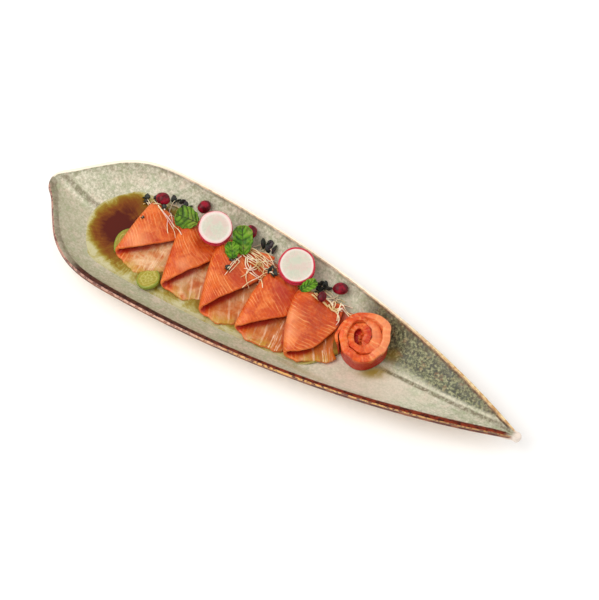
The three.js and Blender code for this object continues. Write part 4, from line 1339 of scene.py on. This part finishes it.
def folded_slice(number, part, thickness):
    """A folded slice with the facts for its looks."""
    middle, shares, flap_share, across, begin, run, crumple = slice_form(number, part)
    grain, spread = slice_grain(part, middle, shares, run)
    # Spots of painted highlight and painted shade
    glow, dusk = (spots(middle[..., 0], middle[..., 1], part.get(key, ())) for key in ("glow", "dusk"))
    # Painted shade, which the fact deep carries: in the valley before the next slice, on the lower layer
    # under and beside the flap's edge, on the flap's underside, in the dark spots and towards the flap's far
    # edge
    valley_shade = 0
    following = next_slice(number)
    if following:
        run_beside, beyond = off_fold(following, middle[..., :2])
        beyond = beyond + bow(following, run_beside, 50)
        valley_shade = smoothstep(beyond, -4.4, -1.4) * mix(0.65, 0.35, flap_share)

    cover = run - flap_near(part, across - FOLD_HALF)
    flap_shadow = smoothstep(cover, -2.2, 1.2) * smoothstep(across, part["flap"] * 0.72, part["flap"] * 0.4)
    flap_shadow = np.maximum(flap_shadow, smoothstep(cover, -0.6, 3.0) * 0.7)
    flap_underside_shade = smoothstep(shares, 0.5, 0.62) * smoothstep(run - begin, 0.6, 3.0)
    inner_shade = np.where(shares < 0.5, np.maximum(np.maximum(flap_shadow, dusk), valley_shade), flap_underside_shade)
    late = smoothstep(flap_share, 0.55, 1.0) * smoothstep(run, part["length"] * 0.45, part["length"] * 0.8)
    shade = np.maximum(late * part.get("shade", 0.0), 0.4 * smoothstep(flap_share, 0.86, 1.0))
    shade = np.maximum(np.maximum(shade, 0.75 * dusk), valley_shade)
    soak = smoothstep(run - begin, 9.0, 0.5) * (1 - smoothstep(shares, 0.3, 0.36))
    facts = {
        "grain": (grain, across + 0.12 * run), "streak": (spread, run), "inner": (0.0, 1.0),
        "soak": (0.0, soak), "deep": (shade, np.clip(inner_shade, 0, 1) * 0.85),
        "near_fold": (0.0, smoothstep(across + 2 * crumple, 12, 4)), "stain": (0.0, part["stain"]),
        "glow": (glow, 0.0), "striped": (0.0, mix(0.3, 1.0, smoothstep(across, 12, 26)) * part["striped"]),
    }
    return sheet_mesh(f"folded_slice_{number + 1}", middle, thickness, facts)


class PLATE_OT_slices(bpy.types.Operator):
    """Lay the folded slices, one beside the next"""

    bl_idname = "plate.slices"
    bl_label = "Salmon slices"

    def execute(self, context):
        look = context.scene.plate_salmon
        finish = salmon_finish("salmon_flesh", look, look, look.fat_spacing / MM)
        for number, part in enumerate(SLICES):
            mesh = folded_slice(number, part, look.thickness / MM)
            add_piece(mesh, f"salmon_slice_{number + 1}", finish)
        return {"FINISHED"}


# The rose

def turn_edge(s, angle, uneven):
    """Place of the line where one turn of the rose ends and the next begins, off the rose's middle."""
    wander = uneven * (np.sin(2.3 * angle + 1) + 0.6 * np.sin(5.1 * angle)) * s.clip(0, 1)
    spread = mix(ROSE["inner"], ROSE["outer"], s) + ROSE["thick"] / 2 + wander
    narrow = smoothstep(s, 0.45, -0.1)
    off = angle - math.radians(FACING)
    right = spread * np.cos(off) * (1 - 0.18 * narrow) - 1.9 * narrow
    up = spread * np.sin(off) * (1 + 0.4 * narrow) + 1.7 * narrow
    return np.stack([right, up], -1) @ spin(FACING)[:2, :2]


def rose_form(rose_look):
    """The rolled slice's middle surface and thickness, and how its points lie in the roll."""
    uneven = rose_look.uneven / MM
    s = np.linspace(ROSE["begins"], 1, rose_look.columns)[:, None]
    t = clustered(ROSE["rows"])[None, :]
    turns = (ROSE["outer"] - ROSE["inner"]) / ROSE["pitch"]
    back = 1 / turns
    angle = s * turns * 2 * np.pi + math.radians(ROSE["from"])
    outward = direction(angle)
    leftward = -np.cos(angle - math.radians(FACING))
    end = smoothstep(s, ROSE["thin_from"], 1)
    plug = smoothstep(s, 0.03, -0.05)

    inside_of = turn_edge(s - back, angle, uneven)
    thin_end = inside_of + outward * ROSE["end_thick"]
    outside_of = mix(turn_edge(s, angle, uneven), thin_end, end[..., None])
    hub = turn_edge(np.full_like(s, -back), np.full_like(s, math.pi), uneven) * 0.35
    inside_of = mix(inside_of, hub, smoothstep(s, 0.0, -0.04)[..., None])
    crescent = 0.01 + 0.3 * np.exp(-(((s - 0.09 - back) / 0.05) ** 2))
    inside_of = inside_of + outward * (crescent * (1 - plug))[..., None]
    lean = rose_look.flare / MM * t * t
    inner_line = inside_of + outward * (lean * (s - back).clip(0, 1))[..., None]
    outer_line = outside_of + outward * (lean * s.clip(0, 1))[..., None]
    slim = 0.02 * smoothstep(t, 0.7, 1.0) * (1 - plug)
    inner_line = mix(inner_line, outer_line, slim[..., None])
    plan = (inner_line + outer_line) / 2 + np.array([ROSE["x"], ROSE["y"]])
    petal = ripple(plan[..., 0], plan[..., 1] + 3 * t, PETAL_RIPPLE["rate"], PETAL_RIPPLE["seed"])
    plan = plan + outward * (PETAL_RIPPLE["width"] * petal * t)[..., None]

    top = ROSE["top"] + ROSE["wave"] * np.sin(angle * ROSE["wave_rate"]) - ROSE["sunk"] * (1 - s)
    for size, rate, shift in ROSE_EDGE:
        top = top + size * np.sin(angle * rate + shift)
    uneven_edge = ripple(plan[..., 0], plan[..., 1], EDGE_RIPPLE["rate"], EDGE_RIPPLE["seed"])
    top = top - (3.4 + 1.6 * leftward) * plug + EDGE_RIPPLE["height"] * uneven_edge
    base = floor_height(plan[:, :1, 0], plan[:, :1, 1]) + 0.4
    middle = raised(plan, mix(np.maximum(ROSE["base"], base), top, t))
    thickness = np.maximum(np.linalg.norm(outer_line - inner_line, axis=-1), ROSE["least_thick"])
    return middle, thickness, s, angle, leftward, plug, top


def rose_facts(middle, s, angle, leftward, plug, top):
    """The facts for the rose's looks: deep red painted shade in its heart, low between its turns, low on its
    outermost wall and in a spot at its lower right, and a painted highlight near the tops of its outer turns
    on the right.
    """
    z = middle[..., 2]
    grain = 0.8 * (z - ROSE["base"]) + ROSE["outer"] * 0.75 * angle + 2.0 * np.sin(z * 0.3)
    # Painted shade, which the fact deep carries: low between the turns, in the heart and round it, low on the
    # outermost wall and in a spot at its lower right
    depth = smoothstep(z, top - 1.6, top - 6.0)
    heart_shade = smoothstep(s, 0.34, 0.26) * smoothstep(z, top - 0.6, top - 2.2)
    heart_and_crevice_shade = np.clip(depth * 0.25 + heart_shade * smoothstep(leftward, -0.7, 0.1), 0, 0.97)
    outermost = smoothstep(s, 0.6, 0.66)
    off = np.abs((angle + math.radians(36) + np.pi) % (2 * np.pi) - np.pi)
    ring = smoothstep(s, 0.34, 0.24) * (1 - plug) * smoothstep(z, top - 3, top - 0.5)
    outer_face_shade = plug * smoothstep(leftward, -0.35, 0.25) + depth * 0.15 * (1 - outermost)
    outer_face_shade = outer_face_shade + 0.8 * smoothstep(z, top - 1.5, top - 7) * outermost
    outer_face_shade = outer_face_shade + np.exp(-((off / 0.2) ** 2) - ((z - 10) / 4) ** 2) * outermost
    outer_face_shade = outer_face_shade + 0.6 * ring * smoothstep(-leftward, 0.3, 0.9)
    # Painted highlight near the tops of the outer turns on the right
    glow = smoothstep(-leftward, 0.0, 0.9) * smoothstep(s, 0.3, 0.5) * smoothstep(z, top - 5, top - 1)
    return {
        "grain": (grain, grain), "streak": (z, z), "inner": (0.0, 1.0), "soak": (0.0, 0.0),
        "near_fold": (0.0, 0.0), "stain": (0.0, 0.0), "deep": (np.clip(outer_face_shade, 0, 0.97), heart_and_crevice_shade),
        "glow": (glow, glow), "striped": (0.0, 0.5),
    }


class PLATE_OT_rose(bpy.types.Operator):
    """Roll a long slice into a rose"""

    bl_idname = "plate.rose"
    bl_label = "Salmon rose"

    def execute(self, context):
        look, rose_look = context.scene.plate_salmon, context.scene.plate_rose
        finish = salmon_finish("salmon_rose_flesh", look, rose_look, ROSE["fat_spacing"], pale_share=0.1,
                               patches=150.0, ember_share=0.75, edge_highlight_share=0.0)
        middle, thickness, *lie = rose_form(rose_look)
        mesh = sheet_mesh("rolled_rose", middle, thickness, rose_facts(middle, *lie), ROSE["rounding"])
        add_piece(mesh, "salmon_rose", finish)
        return {"FINISHED"}


# The garnish

def disc_mesh(name, settle, part, thick, skin, seed, around=120):
    """A round slice with soft edges and a slight warp, laid in place by settle."""
    radius = part["radius"]
    soft = thick * 0.3
    flat = np.linspace(0, radius - soft, DISC_STEPS[0])[:-1]
    corner = np.linspace(0, np.pi / 2, DISC_STEPS[1])
    reach = np.concatenate([flat, radius - soft + soft * np.sin(corner)])
    rise = np.concatenate([np.full(len(flat), thick / 2), thick / 2 - soft + soft * np.cos(corner)])
    reach = np.concatenate([reach, reach[::-1]])[:, None]
    rise = np.concatenate([rise, -rise[::-1]])[:, None]
    angle = np.arange(around) / around * 2 * np.pi
    r = reach * (1 + 0.012 * np.sin(2 * angle + seed) + 0.008 * np.sin(5 * angle + 2 * seed))
    z = rise + 0.25 * (r / radius) ** 2 * np.sin(2 * angle + seed)
    points = np.stack([r * np.cos(angle), r * np.sin(angle), z], -1)
    inward = np.broadcast_to(radius - reach, r.shape)
    skin_share = smoothstep(inward + 0.12 * np.sin(7 * angle + seed), skin + 0.15, skin - 0.15)
    facts = {"inward": inward, "rays": np.broadcast_to(np.abs(angle - np.pi), r.shape), "skin": skin_share}
    mesh = write_mesh(name, settle(tipped(points, part, part["turn"])), ring_faces(len(reach), around), facts)
    merge_seams(mesh)
    return mesh


class PLATE_OT_radishes(bpy.types.Operator):
    """Lay the radish slices in pairs"""

    bl_idname = "plate.radishes"
    bl_label = "Radish slices"

    def execute(self, context):
        look = context.scene.plate_radish
        finish = radish_finish(look)
        for number, part in enumerate(RADISHES):
            for suffix in ("_under", ""):
                node = part["name"] + suffix
                skin = part["skin"] + (UNDER_SKIN if suffix else 0.0)
                mesh = disc_mesh(f"sliced_{node}", lambda points: level_with(node, points), part,
                                 look.thickness / MM, skin, number + len(suffix))
                add_piece(mesh, node, finish)
        return {"FINISHED"}


def under_salmon(points):
    """Lays a slice on the floor of the dish, and keeps it below the salmon that covers it."""
    floor = floor_height(points[..., 0], points[..., 1])
    points = points + np.array([0, 0, (floor + 0.45 - points[..., 2]).max()])
    for part in SLICES[:3]:
        run, across = off_fold(part, points[..., :2])
        covered = (across > -1.2) & (across < part["lower"]) & (run < part["length"])
        covered &= run > lower_near(part, across - FOLD_HALF) - 1
        roof = laid_height(part, across, floor + 0.55 + SLICE_THICK / 2) - SLICE_THICK / 2 - 0.4
        points[..., 2] = np.where(covered, np.minimum(points[..., 2], roof), points[..., 2])
    return points


class PLATE_OT_cucumbers(bpy.types.Operator):
    """Tuck the cucumber slices under the salmon"""

    bl_idname = "plate.cucumbers"
    bl_label = "Cucumber slices"

    def execute(self, context):
        look = context.scene.plate_cucumber
        finish = cucumber_finish(look)
        for number, part in enumerate(CUCUMBERS):
            node = f"cucumber_{number + 1}"
            mesh = disc_mesh(f"sliced_{node}", under_salmon, part, look.thickness / MM, CUCUMBER_SKIN,
                             number + 3.0, around=160)
            add_piece(mesh, node, finish)
        return {"FINISHED"}


def leaf_form(number, part):
    """The middle surface of a leaf that lies along X, and how strongly its veins show."""
    s, v = (clustered(count) for count in LEAF_GRID)
    s, v = s[:, None], 2 * v - 1
    angle = np.pi * s
    along = -np.cos(angle) * part["length"] / 2 * np.ones_like(v)
    half = part["breadth"] / 2 * np.sin(angle) ** 0.75 * (1 - 0.18 * np.cos(angle)) + 0.4
    side = half * (1 + 0.05 * np.sin(angle * 9 + number)) * v
    u = along / part["length"] + 0.5
    arms = (u * 4.6 - np.abs(v) * 1.3 + 0.12 * np.sin(5 * v + 7 * u + number)) % 1.0
    narrow, broad = (np.exp(-((np.minimum(arms, 1 - arms) / width) ** 2)) for width in (0.1, 0.3))
    side_vein = narrow * (1 - smoothstep(np.abs(v), 0.6, 0.95))
    vein = np.clip(np.maximum(side_vein * 0.85, np.exp(-((side / 0.42) ** 2))), 0, 1)
    z = (part["cup"] + 0.5 * np.sin(along * 0.9 + 1)) * v**2
    z = z - 0.22 * vein + 0.28 * np.cos(arms * 2 * np.pi - np.pi) * np.minimum(1, np.abs(v) * 3)
    return np.stack([along, side, z], -1), np.maximum(vein, broad * 0.7)


class PLATE_OT_leaves(bpy.types.Operator):
    """Set the veined leaves"""

    bl_idname = "plate.leaves"
    bl_label = "Sorrel leaves"

    def execute(self, context):
        finish = leaf_finish(context.scene.plate_leaf)
        for number, part in enumerate(LEAVES):
            node = f"sorrel_{number + 1}"
            middle, shown = leaf_form(number, part)
            middle = level_with(node, tipped(middle @ spin(part["turn"]), part, FACING))
            facts = {"vein": (shown, shown), "dark": (part["dark"], part["dark"])}
            add_piece(sheet_mesh(f"leaf_{node}", middle, LEAF_THICK, facts), node, finish)
        return {"FINISHED"}


class PLATE_OT_arils(bpy.types.Operator):
    """Drop the pomegranate arils"""

    bl_idname = "plate.arils"
    bl_label = "Pomegranate arils"

    def execute(self, context):
        finish = aril_finish(context.scene.plate_aril)
        work = bmesh.new()
        bmesh.ops.create_icosphere(work, subdivisions=5, radius=1.0)
        way = np.array([vert.co[:] for vert in work.verts])
        faces = np.array([[vert.index for vert in face.verts] for face in work.faces])
        work.free()
        for number, radius in enumerate(BERRY_RADII):
            node = f"pomegranate_{number + 1}"
            random = np.random.default_rng(BERRY_SEED + number)
            facets = unit(random.normal(size=(BERRY_FACETS, 3)))
            push = np.clip(way @ facets.T, 0, None) ** BERRY_POWER
            size = (push.sum(axis=1) + 0.35) ** (-1 / BERRY_POWER)
            size = mix(1.0, size / size.max(), 0.55)
            shape = way * size[:, None] * BERRY_SHAPE * radius
            low, high = (np.array(corner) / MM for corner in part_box(node))
            shape = shape @ spin(BERRY_TURN * number) + (low + high) / 2
            mesh = write_mesh(f"aril_{number + 1}", shape, faces)
            add_piece(mesh, node, finish)
        return {"FINISHED"}


# The sprouts

def ground_height(pieces, x, y):
    """Height in millimetres of the highest of some pieces at a point."""
    best = 0.0
    for piece in pieces:
        hit, where, _, _ = piece.ray_cast(Vector((x * MM, y * MM, PROBE_HEIGHT * MM)), Vector((0, 0, -1)))
        if hit:
            best = max(best, where.z / MM)
    return best


def lay_stem(pieces, path, steps, radius, lift):
    """The points of a stem that lies over the food along a path in plan."""
    path = np.array(path, float)
    run = length_along(path)
    share = np.linspace(0, 1, steps)
    plan = np.stack([np.interp(share * run[-1], run, path[:, axis]) for axis in (0, 1)], -1)
    for _ in range(5):
        plan[1:-1] = (plan[:-2] + 2 * plan[1:-1] + plan[2:]) / 4
    under = np.array([ground_height(pieces, x, y) for x, y in plan])
    fine = np.array([under[max(0, i - 2):i + 3].max() for i in range(steps)])
    for _ in range(6):
        fine = np.maximum(under, np.convolve(np.pad(fine, 1, mode="edge"), (0.25, 0.5, 0.25), mode="valid"))
    return raised(plan, fine + radius + 0.25 + lift * np.sin(np.pi * share))


def stem_tree(leaf, stem_material, leaf_material):
    """Turns lines into round stems, and sets a pair of seed leaves on the marked ends."""
    tree = bpy.data.node_groups.new("Sprout stems", "GeometryNodeTree")
    for key, way, kind in (
        ("Geometry", "INPUT", "Geometry"), ("Geometry", "OUTPUT", "Geometry"),
        ("Stem radius", "INPUT", "Float"), ("Seed leaf size", "INPUT", "Float"), ("Seed", "INPUT", "Int"),
    ):
        tree.interface.new_socket(key, in_out=way, socket_type=f"NodeSocket{kind}")
    net = Net(tree)
    given = tree.nodes.new("NodeGroupInput").outputs
    end = tree.nodes.new("NodeGroupOutput")
    taper, marked = (
        net.add("GeometryNodeInputNamedAttribute", {"Name": name}, "Attribute", data_type="FLOAT")
        for name in ("taper", "bears_leaf")
    )
    width = net.times(taper, given["Stem radius"])
    curve = net.add("GeometryNodeMeshToCurve", {"Mesh": given["Geometry"]})
    curve = net.add("GeometryNodeSetCurveRadius", {"Curve": curve, "Radius": width})
    circle = net.add("GeometryNodeCurvePrimitiveCircle", {"Resolution": 7, "Radius": 1.0})
    tube = net.add("GeometryNodeCurveToMesh", {
        "Curve": curve, "Profile Curve": circle, "Scale": width, "Fill Caps": True})
    stems = net.add("GeometryNodeSetMaterial", {
        "Geometry": net.add("GeometryNodeSetShadeSmooth", {"Geometry": tube}), "Material": stem_material})

    chosen = net.add("FunctionNodeCompare", {0: marked, 1: 0.1}, "Result", data_type="FLOAT",
                     operation="GREATER_THAN")
    turned = net.add(
        "FunctionNodeRandomValue", {"Min": (-0.5, -0.5, 0.0), "Max": (0.5, 0.5, 6.28), "Seed": given["Seed"]},
        "Value", data_type="FLOAT_VECTOR")
    placed = net.add("GeometryNodeInstanceOnPoints", {
        "Points": given["Geometry"], "Selection": chosen,
        "Instance": net.add("GeometryNodeObjectInfo", {"Object": leaf}, "Geometry"), "Rotation": turned,
        "Scale": net.times(marked, given["Seed leaf size"])})
    leaves = net.add("GeometryNodeSetMaterial", {"Geometry": placed, "Material": leaf_material})
    both = tree.nodes.new("GeometryNodeJoinGeometry")
    for part in (stems, leaves):
        tree.links.new(part, both.inputs[0])
    net.plug(end.inputs["Geometry"], net.add("GeometryNodeRealizeInstances", {"Geometry": both.outputs[0]}))
    return tree


def seed_leaf_object(material):
    """A pair of small rounded seed leaves, one unit long, that is copied onto the stems."""
    columns, rows = SEED_GRID
    count = columns * rows
    u, v = np.linspace(0, 1, columns)[:, None], np.linspace(-1, 1, rows)[None, :]
    half = 0.58 * np.sin(np.pi * u**0.8) ** 0.6 + 0.03
    z = 0.22 * u - 0.16 * v**2 + 0.28 * u * u
    thick = 0.06 + 0.1 * np.sin(np.pi * u) * (1 - v * v)
    index = np.arange(count).reshape(columns, rows)
    rim = np.concatenate([index[0, :], index[1:, -1], index[-1, -2::-1], index[-2:0:-1, 0]])
    after = np.roll(rim, -1)
    walls = np.stack([rim, after, after + count, rim + count], -1)
    leaf_faces = np.concatenate([quads(index), quads(index + count, flip=True), walls])
    points, faces = [], []
    for number, side in enumerate((1, -1)):
        plan = np.stack([side * (0.06 + 0.62 * u) * np.ones_like(v), half * v * side], -1)
        points += [raised(plan, z + thick), raised(plan, z - thick)]
        faces.append(leaf_faces + number * 2 * count)
    mesh = write_mesh("seed_leaf_pair", np.stack(points) / MM, np.concatenate(faces))
    merge_seams(mesh)
    mesh.materials.append(material)
    return link_object("seed_leaf_pair", mesh)


def chance_stems(random, tangles):
    """Short stems that bend evenly, at chance places about the middle of each tangle."""
    stems = []
    for a, b, wide, deep, count in tangles:
        for _ in range(count):
            steps = [np.array([a, b]) + random.uniform(-1, 1, 2) * (wide, deep)]
            turn = random.uniform(0, 2 * np.pi)
            bend = random.uniform(-0.55, 0.55)
            for i in range(5):
                steps.append(steps[-1] + TANGLE_STEP * direction(turn + bend * i))
            stems.append(steps)
    return stems


def heap_lines(name, heap, random, ground, look):
    """The stems of a heap as lines, with their taper and the size of the seed leaves on their ends."""
    stems = [(path, 0.0) for path in (*heap["stems"], *chance_stems(random, heap.get("tangle", ())))]
    stems += [((start, end), size) for start, end, size in heap["heads"]]
    points, edges, taper, bears = [], [], [], []
    for path, size in stems:
        lift = random.uniform(0, 1.0)
        first = len(points)
        points += list(lay_stem(ground, path, look.steps, look.radius / MM, lift))
        edges += [(first + i, first + i + 1) for i in range(look.steps - 1)]
        breadth = random.uniform(0.75, 1.15) * heap.get("thick", 1.0) * (0.3 if 0 < size < 0.5 else 1.0)
        taper += list(mix(1.0, 0.62, np.linspace(0, 1, look.steps)) * breadth)
        bears += [0.0] * (look.steps - 1) + [size]
    mesh = bpy.data.meshes.new(name)
    mesh.from_pydata([tuple(p * MM) for p in points], edges, [])
    for key, values in (("taper", taper), ("bears_leaf", bears)):
        mesh.attributes.new(key, "FLOAT", "POINT").data.foreach_set("value", values)
    return mesh


def grown_mesh(context, name, lines, tree, values):
    """A plain mesh from lines that a node tree has turned into stems."""
    line = link_object(lines.name, lines)
    modifier = line.modifiers.new("stems", "NODES")
    modifier.node_group = tree
    for item in tree.interface.items_tree:
        if item.in_out == "INPUT" and item.name in values:
            modifier[item.identifier] = values[item.name]
    context.view_layer.update()
    mesh = bpy.data.meshes.new_from_object(line.evaluated_get(context.evaluated_depsgraph_get()))
    bpy.data.objects.remove(line)
    mesh.name = name
    if not mesh.polygons:
        raise RuntimeError(f"{name} came out empty")
    return mesh


class PLATE_OT_sprouts(bpy.types.Operator):
    """Scatter the sprouts over the salmon"""

    bl_idname = "plate.sprouts"
    bl_label = "Sprouts"

    def execute(self, context):
        look = context.scene.plate_sprout
        stem_material, leaf_material = stem_finish(look), seed_leaf_finish(look)
        leaf = seed_leaf_object(leaf_material)
        tree = stem_tree(leaf, stem_material, leaf_material)
        slices = [f"folded_slice_{number + 1}" for number in range(len(SLICES))]
        ground = [bpy.data.objects[name] for name in ("leaf_dish", "ponzu_pool", "rolled_rose", *slices)]
        for number, (node, heap) in enumerate(SPROUTS.items()):
            random = np.random.default_rng(HEAP_SEED + number)
            lines = heap_lines(f"lines_{node}", heap, random, ground, look)
            values = {"Stem radius": look.radius, "Seed leaf size": look.seed_size,
                      "Seed": SEED_LEAF_SEED + number}
            add_piece(grown_mesh(context, f"heap_{node}", lines, tree, values), node)
        bpy.data.objects.remove(leaf)
        return {"FINISHED"}


# The stage

class PLATE_OT_stage(bpy.types.Operator):
    """Set the pale floor, the soft lights and the camera"""

    bl_idname = "plate.stage"
    bl_label = "Stage"

    def execute(self, context):
        look = context.scene.plate_stage
        scene = context.scene
        corners = [(x * FLOOR_HALF, y * FLOOR_HALF, 0) for x, y in ((-1, -1), (1, -1), (1, 1), (-1, 1))]
        mesh = bpy.data.meshes.new("floor")
        mesh.from_pydata(corners, [], [range(4)])
        mesh.materials.append(floor_finish(look))
        floor = link_object("floor", mesh)
        floor.location.z = -FLOOR_DROP
        scene.world = bpy.data.worlds.new("soft_sky")
        scene.world.use_nodes = True
        sky = scene.world.node_tree.nodes["Background"].inputs
        sky["Color"].default_value = SKY_TINT
        sky["Strength"].default_value = look.sky
        for lamp in LAMPS:
            data = bpy.data.lights.new(lamp["name"], "AREA")
            data.energy = getattr(look, lamp["name"])
            data.size = lamp["width"]
            data.color = lamp["tint"]
            light = link_object(lamp["name"], data)
            light.location = lamp["place"]
            light.rotation_euler = (-light.location).to_track_quat("-Z", "Y").to_euler()
        azimuth, elevation = math.radians(CAMERA["azimuth"]), math.radians(CAMERA["elevation"])
        level = math.cos(elevation)
        back = Vector((math.sin(azimuth) * level, -math.cos(azimuth) * level, math.sin(elevation)))
        data = bpy.data.cameras.new("view")
        data.lens = CAMERA["lens"]
        data.sensor_width = CAMERA["sensor"]
        scene.camera = link_object("view", data)
        scene.camera.location = Vector(CAMERA["target"]) + back * CAMERA["distance"]
        scene.camera.rotation_euler = (-back).to_track_quat("-Z", "Y").to_euler()
        scene.view_settings.view_transform = "Standard"
        return {"FINISHED"}


OPERATORS = (
    PLATE_OT_stage, PLATE_OT_dish, PLATE_OT_sauce, PLATE_OT_slices, PLATE_OT_rose, PLATE_OT_cucumbers,
    PLATE_OT_radishes, PLATE_OT_leaves, PLATE_OT_arils, PLATE_OT_sprouts,
)


class PLATE_PT_panel(bpy.types.Panel):
    """Lists the pieces of the plate and their settings"""

    bl_label = "Plated salmon"
    bl_idname = "PLATE_PT_panel"
    bl_space_type = "VIEW_3D"
    bl_region_type = "UI"
    bl_category = "Plate"

    def draw(self, context):
        for operator in OPERATORS:
            self.layout.operator(operator.bl_idname)
        for key, group in LOOKS.items():
            box = self.layout.box()
            box.label(text=key.replace("plate_", "").capitalize())
            for setting in group.__annotations__:
                box.prop(getattr(context.scene, key), setting)


CLASSES = (*LOOKS.values(), *OPERATORS, PLATE_PT_panel)


def register():
    for item in CLASSES:
        bpy.utils.register_class(item)
    for key, group in LOOKS.items():
        setattr(bpy.types.Scene, key, PointerProperty(type=group))


def unregister():
    for key in LOOKS:
        delattr(bpy.types.Scene, key)
    for item in reversed(CLASSES):
        bpy.utils.unregister_class(item)


def main():
    register()
    for operator in OPERATORS:
        family, name = operator.bl_idname.split(".")
        getattr(getattr(bpy.ops, family), name)()
    bpy.context.view_layer.update()


if __name__ == "__main__":
    main()
